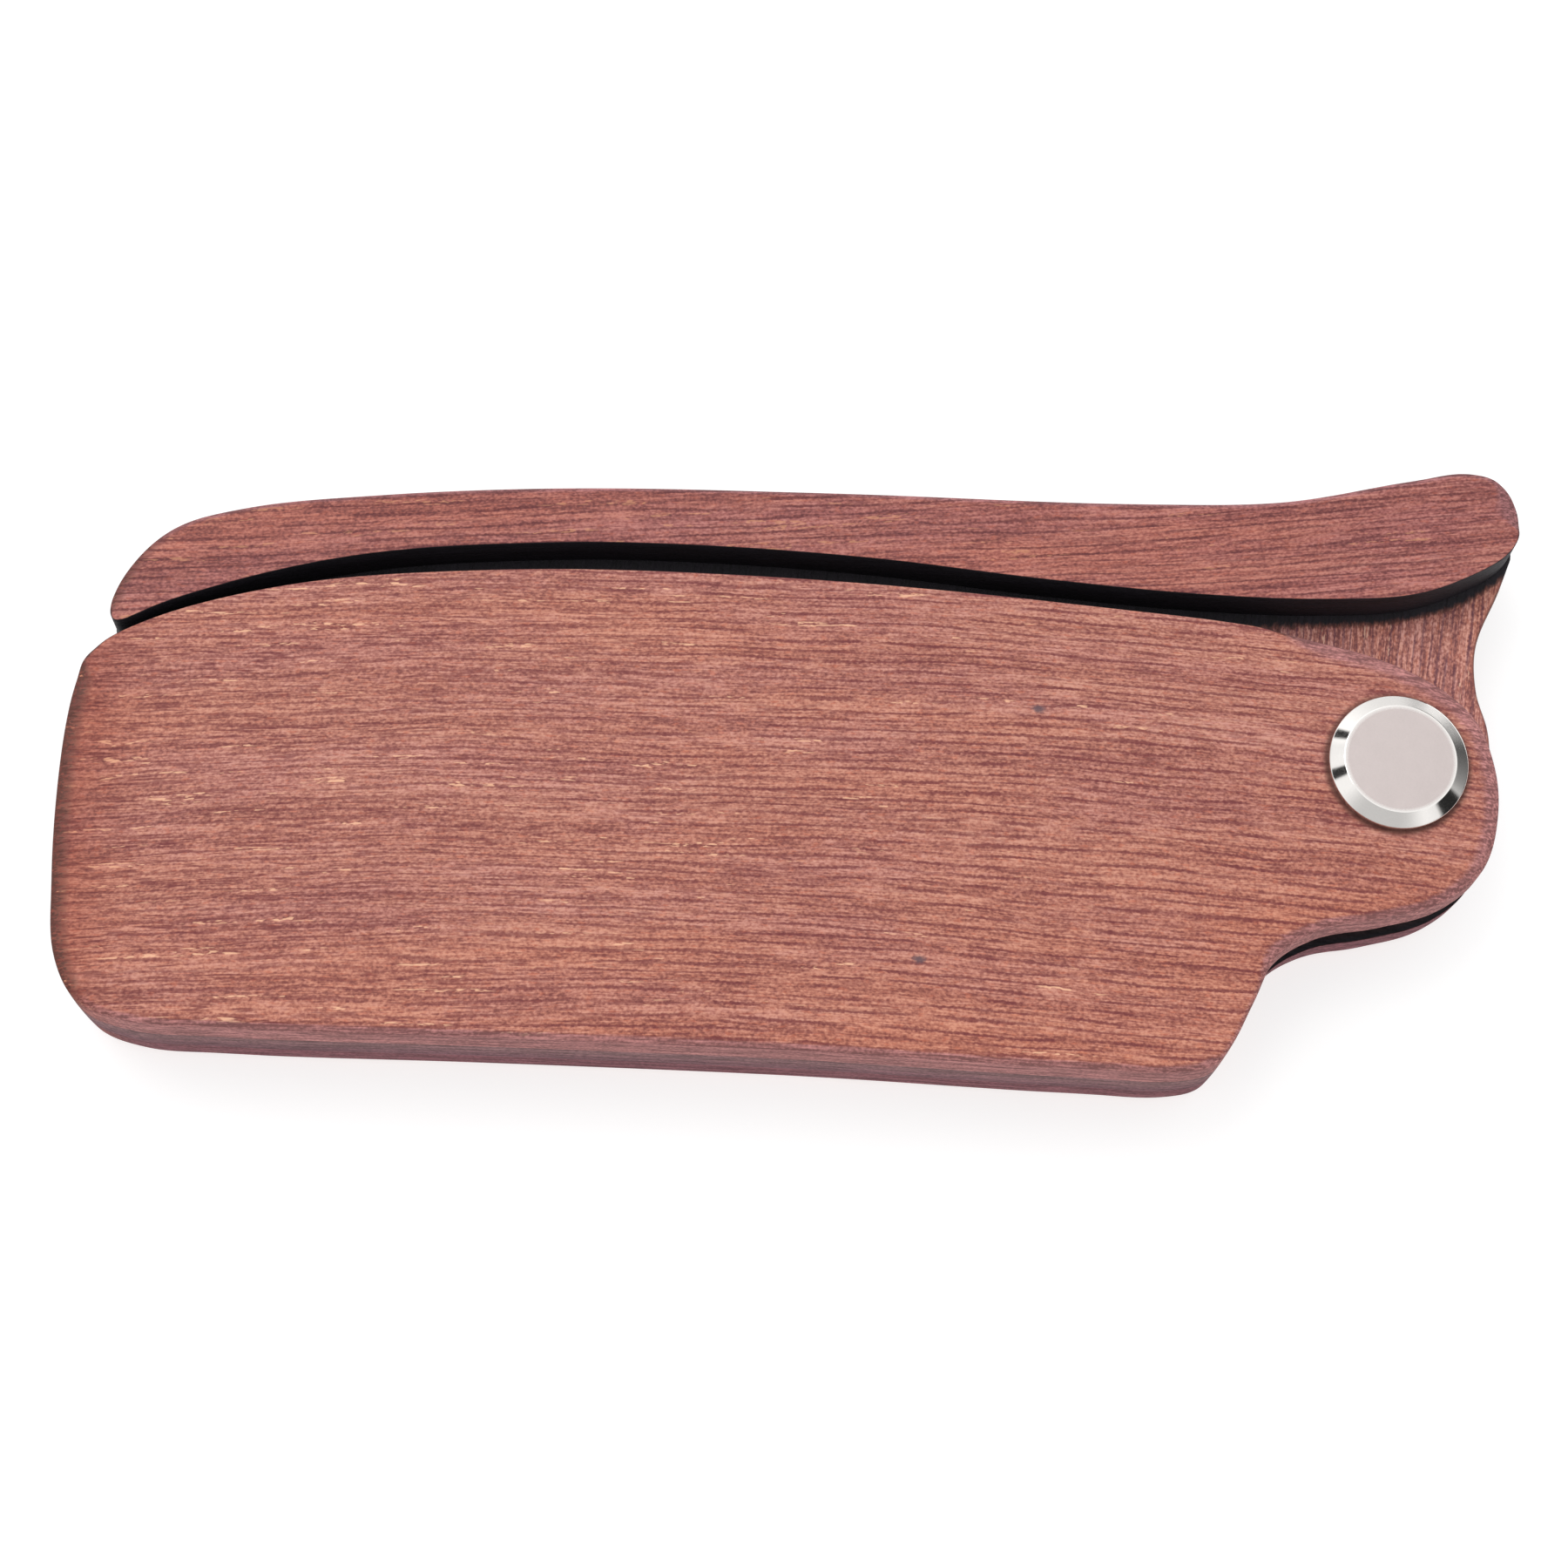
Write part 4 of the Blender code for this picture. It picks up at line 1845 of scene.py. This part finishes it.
        # The first row of the grid closes the root, and the others crowd towards the round tip
        run = (along + 0.5) * value["Rings"]
        share = 1.0 - (1.0 - ((run - 1.0) / (value["Rings"] - 1.0)).most(0.0)) ** self.taper_power
        near_tip = ((1.0 - share) / value["Tip Round"]).least(1.0)
        rounding = (1.0 - (1.0 - near_tip).squared()).most(0.0).root()
        size = fullness * rounding * run.least(1.0)
        wide = value["Root Width"] + (value["Tip Width"] - value["Root Width"]) * share
        thick = value["Root Thickness"] + (value["Tip Thickness"] - value["Root Thickness"]) * share.squared()
        return sheet.point(cosine * size * wide * 0.5, share * -1.0, sine * size * thick * 0.5)


def plain_mesh(host: bpy.types.Object) -> bpy.types.Object:
    """Turns an object and its geometry tree into a plain mesh of the same name.

    Args:
        host: The object, whose modifiers are removed.

    Returns:
        The same object with its final mesh.
    """
    evaluated = host.evaluated_get(bpy.context.evaluated_depsgraph_get())
    mesh = bpy.data.meshes.new_from_object(evaluated)
    mesh.name = host.name
    host.modifiers.clear()
    host.data = mesh
    return host


@dataclass
class PivotRivet:
    """The turned rivet: a chamfered cap on each face and the shank between them."""

    stack: Stack
    finish: MetalFinish
    pivot: Vector
    cap_radius: float = 5.0 * MM
    flat_radius: float = 4.02 * MM
    lip: float = 0.55 * MM
    seat_gap: float = 0.02 * MM
    shank_radius: float = 2.2 * MM
    fillet: float = 0.10 * MM
    chamfer_hold: float = 0.08
    flat_hold: float = 0.55
    rim_hold: float = 0.30 * MM
    arc_steps: int = 4
    turns: int = 128
    sharp_degrees: float = 50.0

    def build(self) -> None:
        """Builds the rivet and sets it on the handle's body."""
        low, high = levels("rivet")
        half = self._half_profile(high - self.stack.front)
        middle = (low + high) / 2
        upper = [(radius, self.stack.front + z, polish) for radius, z, polish in half]
        lower = [(radius, 2 * middle - z, polish) for radius, z, polish in reversed(upper)]
        profile = upper + lower

        shape = bmesh.new()
        layer = shape.verts.layers.float.new(POLISH_NAME)
        rows = []
        for turn in range(self.turns):
            angle = math.tau * turn / self.turns
            spoke = Vector((math.cos(angle), math.sin(angle), 0.0))
            row = []
            for radius, z, polish in profile:
                vertex = shape.verts.new(Vector((self.pivot.x, self.pivot.y, z)) + spoke * radius)
                vertex[layer] = polish
                row.append(vertex)
            rows.append(row)
        for row, after in ring_pairs(rows):
            for step in range(len(profile) - 1):
                shape.faces.new((row[step], row[step + 1], after[step + 1], after[step]))
        bmesh.ops.remove_doubles(shape, verts=shape.verts, dist=WELD)
        bmesh.ops.recalc_face_normals(shape, faces=shape.faces)
        piece = finish_mesh("pivot_rivet", shape, self.finish.material(), self.sharp_degrees)
        attach(piece, Body.HANDLE, "rivet_metal", "rivet")

    def _half_profile(self, rise: float) -> list[Triple]:
        """Works out the front cap's profile from its middle to the shank: radius, height and polish.

        Args:
            rise: How far the cap stands proud of the plate.

        Returns:
            The profile's points.
        """
        slope = math.atan2(rise - self.lip, self.cap_radius - self.flat_radius)
        flat = (0.0, self.flat_radius * self.flat_hold, self.flat_radius - self.rim_hold)
        points = [(radius, rise, 0.0) for radius in flat]
        points += self._arc(self.flat_radius, rise, math.pi / 2, math.pi / 2 - slope, slope)
        outer = self._arc(self.cap_radius, self.lip, math.pi / 2 - slope, 0.0, math.pi / 2 - slope)
        (first_r, first_z, _), (last_r, last_z, _) = points[-1], outer[0]
        points += [
            (first_r + (last_r - first_r) * share, first_z + (last_z - first_z) * share, 1.0)
            for share in (self.chamfer_hold, 1.0 - self.chamfer_hold)
        ]
        points += outer
        points += [(self.cap_radius, self.seat_gap, 1.0), (self.shank_radius, self.seat_gap, 1.0)]
        return points

    def _arc(self, radius: float, z: float, start: float, end: float, turn: float) -> list[Triple]:
        """Rounds one corner of the profile.

        Args:
            radius: The corner's radius from the axis.
            z: The corner's height.
            start: The direction of the surface before the corner, as the angle of its normal.
            end: The direction after it.
            turn: The angle between the two.

        Returns:
            The points of the arc, all polished.
        """
        reach = self.fillet / math.cos(turn / 2)
        middle_angle = (start + end) / 2
        centre = (radius - reach * math.cos(middle_angle), z - reach * math.sin(middle_angle))
        points = []
        for step in range(self.arc_steps + 1):
            angle = start + (end - start) * step / self.arc_steps
            place = (centre[0] + self.fillet * math.cos(angle), centre[1] + self.fillet * math.sin(angle))
            points.append((*place, 1.0))
        return points


@dataclass(frozen=True)
class PhotoCamera:
    """The photograph's camera, from the vanishing point of the lines square to the comb's front face."""

    photo_px: float = 1800.0
    focal_px: float = 3440.0
    square_lines_px: Span = (807.0, 2012.0)
    rivet_px: Span = (1604.0, 877.0)
    rivet_scale_px: float = 16.0
    twist_degrees: float = -2.6
    sensor: float = 36.0
    clip: Span = (0.01, 20.0)

    def place(self, rivet: Vector) -> None:
        """Sets the scene's camera.

        Args:
            rivet: The point of the rivet's axis that lies in the comb's front face.
        """
        # The comb's level, upright and outward lines, in a frame that runs right, down and away
        middle = self.photo_px / 2
        depth = self.focal_px / self.rivet_scale_px * MM
        inward = Vector([(px - middle) / self.focal_px for px in self.square_lines_px] + [1.0]).normalized()
        level = (Vector((1, 0, 0)) - inward * inward.x).normalized()
        upright = level.cross(inward)
        twist = math.radians(self.twist_degrees)
        axes = (
            level * math.cos(twist) + upright * math.sin(twist),
            upright * math.cos(twist) - level * math.sin(twist),
            -inward,
        )
        seen = Vector([(px - middle) / self.focal_px * depth for px in self.rivet_px] + [depth])
        camera = add_object("photo_camera", bpy.data.cameras.new("photo_camera"))
        # The camera's own frame runs right, up and back towards the viewer
        turn = Matrix([(axis.x, -axis.y, -axis.z) for axis in axes])
        place = rivet - Vector([seen.dot(axis) for axis in axes])
        camera.matrix_world = Matrix.Translation(place) @ turn.to_4x4()
        camera.data.sensor_width = self.sensor
        camera.data.lens = self.focal_px / self.photo_px * self.sensor
        camera.data.clip_start, camera.data.clip_end = self.clip
        bpy.context.scene.camera = camera


@dataclass(frozen=True)
class Softbox:
    """A square area light that faces the comb."""

    name: str
    azimuth: float
    elevation: float
    distance: float
    size: float
    watts: float

    def place(self, target: Vector) -> None:
        """Sets the light, facing a point.

        Args:
            target: The point that it faces.
        """
        way = direction(self.azimuth, self.elevation)
        lamp = bpy.data.lights.new(self.name, "AREA")
        lamp.size = self.size
        lamp.energy = self.watts
        light = add_object(self.name, lamp)
        light.location = target + way * self.distance
        light.rotation_euler = way.to_track_quat("Z", "Y").to_euler()


@dataclass(frozen=True)
class RoomPatch:
    """A round patch of the room that is brighter or darker than the rest."""

    azimuth: float
    elevation: float
    inner: float
    outer: float
    strength: float

    def glow(self, sheet: NodeSheet, way: Signal) -> Signal:
        """Tells how much light the patch adds in a direction.

        Args:
            sheet: The sheet that the nodes go on.
            way: The direction.

        Returns:
            The light, below 0 for a dark patch.
        """
        inputs = {0: way, 1: direction(self.azimuth, self.elevation)}
        dot = sheet.add("ShaderNodeVectorMath", {"operation": "DOT_PRODUCT"}, inputs, "Value")
        edges = (math.cos(math.radians(angle)) for angle in (self.outer, self.inner))
        return dot.ease(*edges) * self.strength


@dataclass(frozen=True)
class Studio:
    """A light table under soft light, in a room that is bright above and dim near the floor."""

    floor_size: float = 4.0
    floor_tone: Colour = (0.45, 0.45, 0.45)
    floor_glow: float = 0.68
    floor_roughness: float = 0.9
    floor_specular: float = 0.2
    room_bright: float = 1.0
    room_dim: float = 0.34
    room_rise: Span = (0.05, 0.6)
    room_least: float = 0.02
    boxes: tuple[Softbox, ...] = (Softbox("key_softbox", 135.0, 58.0, 0.9, 0.6, 2.3),)
    patches: tuple[RoomPatch, ...] = (
        RoomPatch(105.0, 10.0, 25.0, 45.0, 0.5),
        RoomPatch(-18.0, 22.0, 6.0, 14.0, -1.0),
        RoomPatch(15.0, 8.0, 12.0, 26.0, -0.25),
        RoomPatch(133.0, 24.0, 2.0, 6.0, -1.3),
        RoomPatch(176.0, 37.0, 2.5, 6.5, -1.3),
        RoomPatch(-100.0, 43.0, 15.0, 45.0, -0.4),
    )

    def build(self) -> None:
        """Builds the floor, the room's light and the softboxes."""
        self._lay_floor()
        self._light_room()
        bpy.context.scene.view_settings.view_transform = "Standard"
        for box in self.boxes:
            box.place(Vector((0.0, 0.0, 0.0)))

    def _lay_floor(self) -> None:
        """Lays the glowing floor that the comb lies on."""
        bpy.ops.mesh.primitive_plane_add(size=self.floor_size)
        floor = bpy.context.object
        floor.name = "studio_floor"
        paint = Paint("studio_floor")
        values = {
            "Base Color": (*self.floor_tone, 1.0),
            "Roughness": self.floor_roughness,
            "Specular IOR Level": self.floor_specular,
            "Emission Color": (*WHITE, 1.0),
            "Emission Strength": self.floor_glow,
        }
        for name, value in values.items():
            paint.shader.inputs[name].default_value = value
        floor.data.materials.append(paint.material)

    def _light_room(self) -> None:
        """Lights the room. Its patches show in the metal only, and the camera sees the plain room."""
        world = bpy.data.worlds.new("studio_room")
        world.use_nodes = True
        sheet = NodeSheet(world.node_tree)
        way = sheet.add("ShaderNodeTexCoord", {}, {}, "Generated")
        height = sheet.parts(way)[2]
        plain = height.ease(*self.room_rise) * (self.room_bright - self.room_dim) + self.room_dim
        patched = plain
        for patch in self.patches:
            patched = patched + patch.glow(sheet, way)
        seen = sheet.add("ShaderNodeLightPath", {}, {}, "Is Camera Ray")
        glow = (patched + (plain - patched) * seen).most(self.room_least)
        background = world.node_tree.nodes["Background"]
        world.node_tree.links.new(glow.socket, background.inputs["Strength"])
        background.inputs["Color"].default_value = (*WHITE, 1.0)
        bpy.context.scene.world = world


def plate_finish(pivot: Vector) -> WoodFinish:
    """Gives the handle plates' wood, with painted shade in a ring around the rivet's caps.

    Args:
        pivot: The rivet's place.

    Returns:
        The finish.
    """
    return WoodFinish(
        name="plate_wood",
        dark=tone(128, 66, 58),
        heart=tone(179, 113, 96),
        light=tone(209, 148, 128),
        ember=tone(202, 108, 78),
        vessels=Vessels(tone(108, 39, 46)),
        flecks=Flecks(tone(244, 188, 152)),
        # The rims' dust, and a darker colour that paints the shade on their lower half
        dust=RimDustAndShade(tone(165, 113, 113), tone(116, 69, 82)),
        course=GrainCourse(arch=0.0010, arch_middle=3.0, offset=(31.0, 7.0, 3.0)),
        tints=Tints(corner_slopes=(0.008, -0.035)),
        dark_end=DarkEnd((-45.0, -52.5)),
        # Painted shade around the rivet's cap
        cap_shade_ring=CapShadeRing(pivot.x / MM, pivot.y / MM, PivotRivet.cap_radius / MM),
        specks=(Speck(17.05, 3.0), Speck(9.0, -16.0)),
    )


def strip_finish() -> WoodFinish:
    """Gives the spine strips' wood.

    Returns:
        The finish.
    """
    return WoodFinish(
        name="strip_wood",
        dark=tone(110, 52, 50),
        heart=tone(158, 91, 82),
        light=tone(190, 124, 111),
        ember=tone(182, 92, 68),
        vessels=Vessels(tone(84, 30, 38), strength=0.66, length=6.0, gap=0.66, lined_rise=(-60.0, -50.0)),
        flecks=Flecks(tone(214, 150, 112), strength=0.5),
        # The rims' dust, and a darker colour that paints the shade on their lower half
        dust=RimDustAndShade(tone(143, 96, 98), tone(112, 76, 82)),
        course=GrainCourse(angle=6.5, arch=-0.0001, arch_middle=-10.0, offset=(-18.0, 33.0, 11.0)),
    )


def blade_finish() -> WoodFinish:
    """Gives the toothed blade's wood, with the soot and the painted gap shade along the strips' lower edge.

    Returns:
        The finish.
    """
    return WoodFinish(
        name="blade_wood",
        dark=tone(120, 68, 68),
        heart=tone(174, 112, 100),
        light=tone(216, 160, 148),
        ember=tone(196, 112, 84),
        vessels=Vessels(tone(86, 46, 66), strength=0.6, gap=0.62),
        flecks=Flecks(tone(226, 180, 156)),
        dust=RimDustAndShade(tone(150, 100, 92), tone(150, 100, 92)),
        course=GrainCourse(angle=84.0, offset=(5.0, -41.0, 20.0)),
        # Soot along the strips' lower edge, with painted shade in the gap
        burn=Burn(SootAndShadeLine(Spine.lower_edge())),
        fibre_strength=1.15,
    )


def spacer_finish() -> WoodFinish:
    """Gives the spacer's wood.

    Returns:
        The finish.
    """
    return WoodFinish(
        name="spacer_wood",
        dark=tone(118, 76, 78),
        heart=tone(146, 100, 96),
        light=tone(172, 124, 116),
        ember=tone(158, 96, 84),
        vessels=Vessels(tone(88, 52, 58)),
        flecks=Flecks(tone(190, 140, 116), strength=0.1),
        # The rims' dust, and a darker colour that paints the shade on their lower half
        dust=RimDustAndShade(tone(136, 100, 102), tone(118, 80, 88)),
        course=GrainCourse(offset=(-60.0, 18.0, 27.0)),
    )


def rivet_finish() -> MetalFinish:
    """Gives the rivet's metal: a warm grey satin cap and a brighter polished chamfer."""
    return MetalFinish("rivet_metal", satin_tone=(0.60, 0.53, 0.515), polished_tone=(0.92, 0.89, 0.86))


def main() -> None:
    """Builds the camera, the studio and every piece of the comb, in order."""
    logging.basicConfig(level=logging.INFO, format="%(name)s: %(message)s")
    stack = Stack.from_frame()
    pivot = Vector(frame["joints"][0]["pos_m"])
    PhotoCamera().place(Vector((pivot.x, pivot.y, stack.front)))
    Studio().build()
    Handle(stack, plate_finish(pivot), spacer_finish(), pivot).build()
    Spine(stack, strip_finish()).build()
    ToothedBlade(stack, blade_finish(), pivot).build()
    PivotRivet(stack, rivet_finish(), pivot).build()


if __name__ == "__main__":
    main()
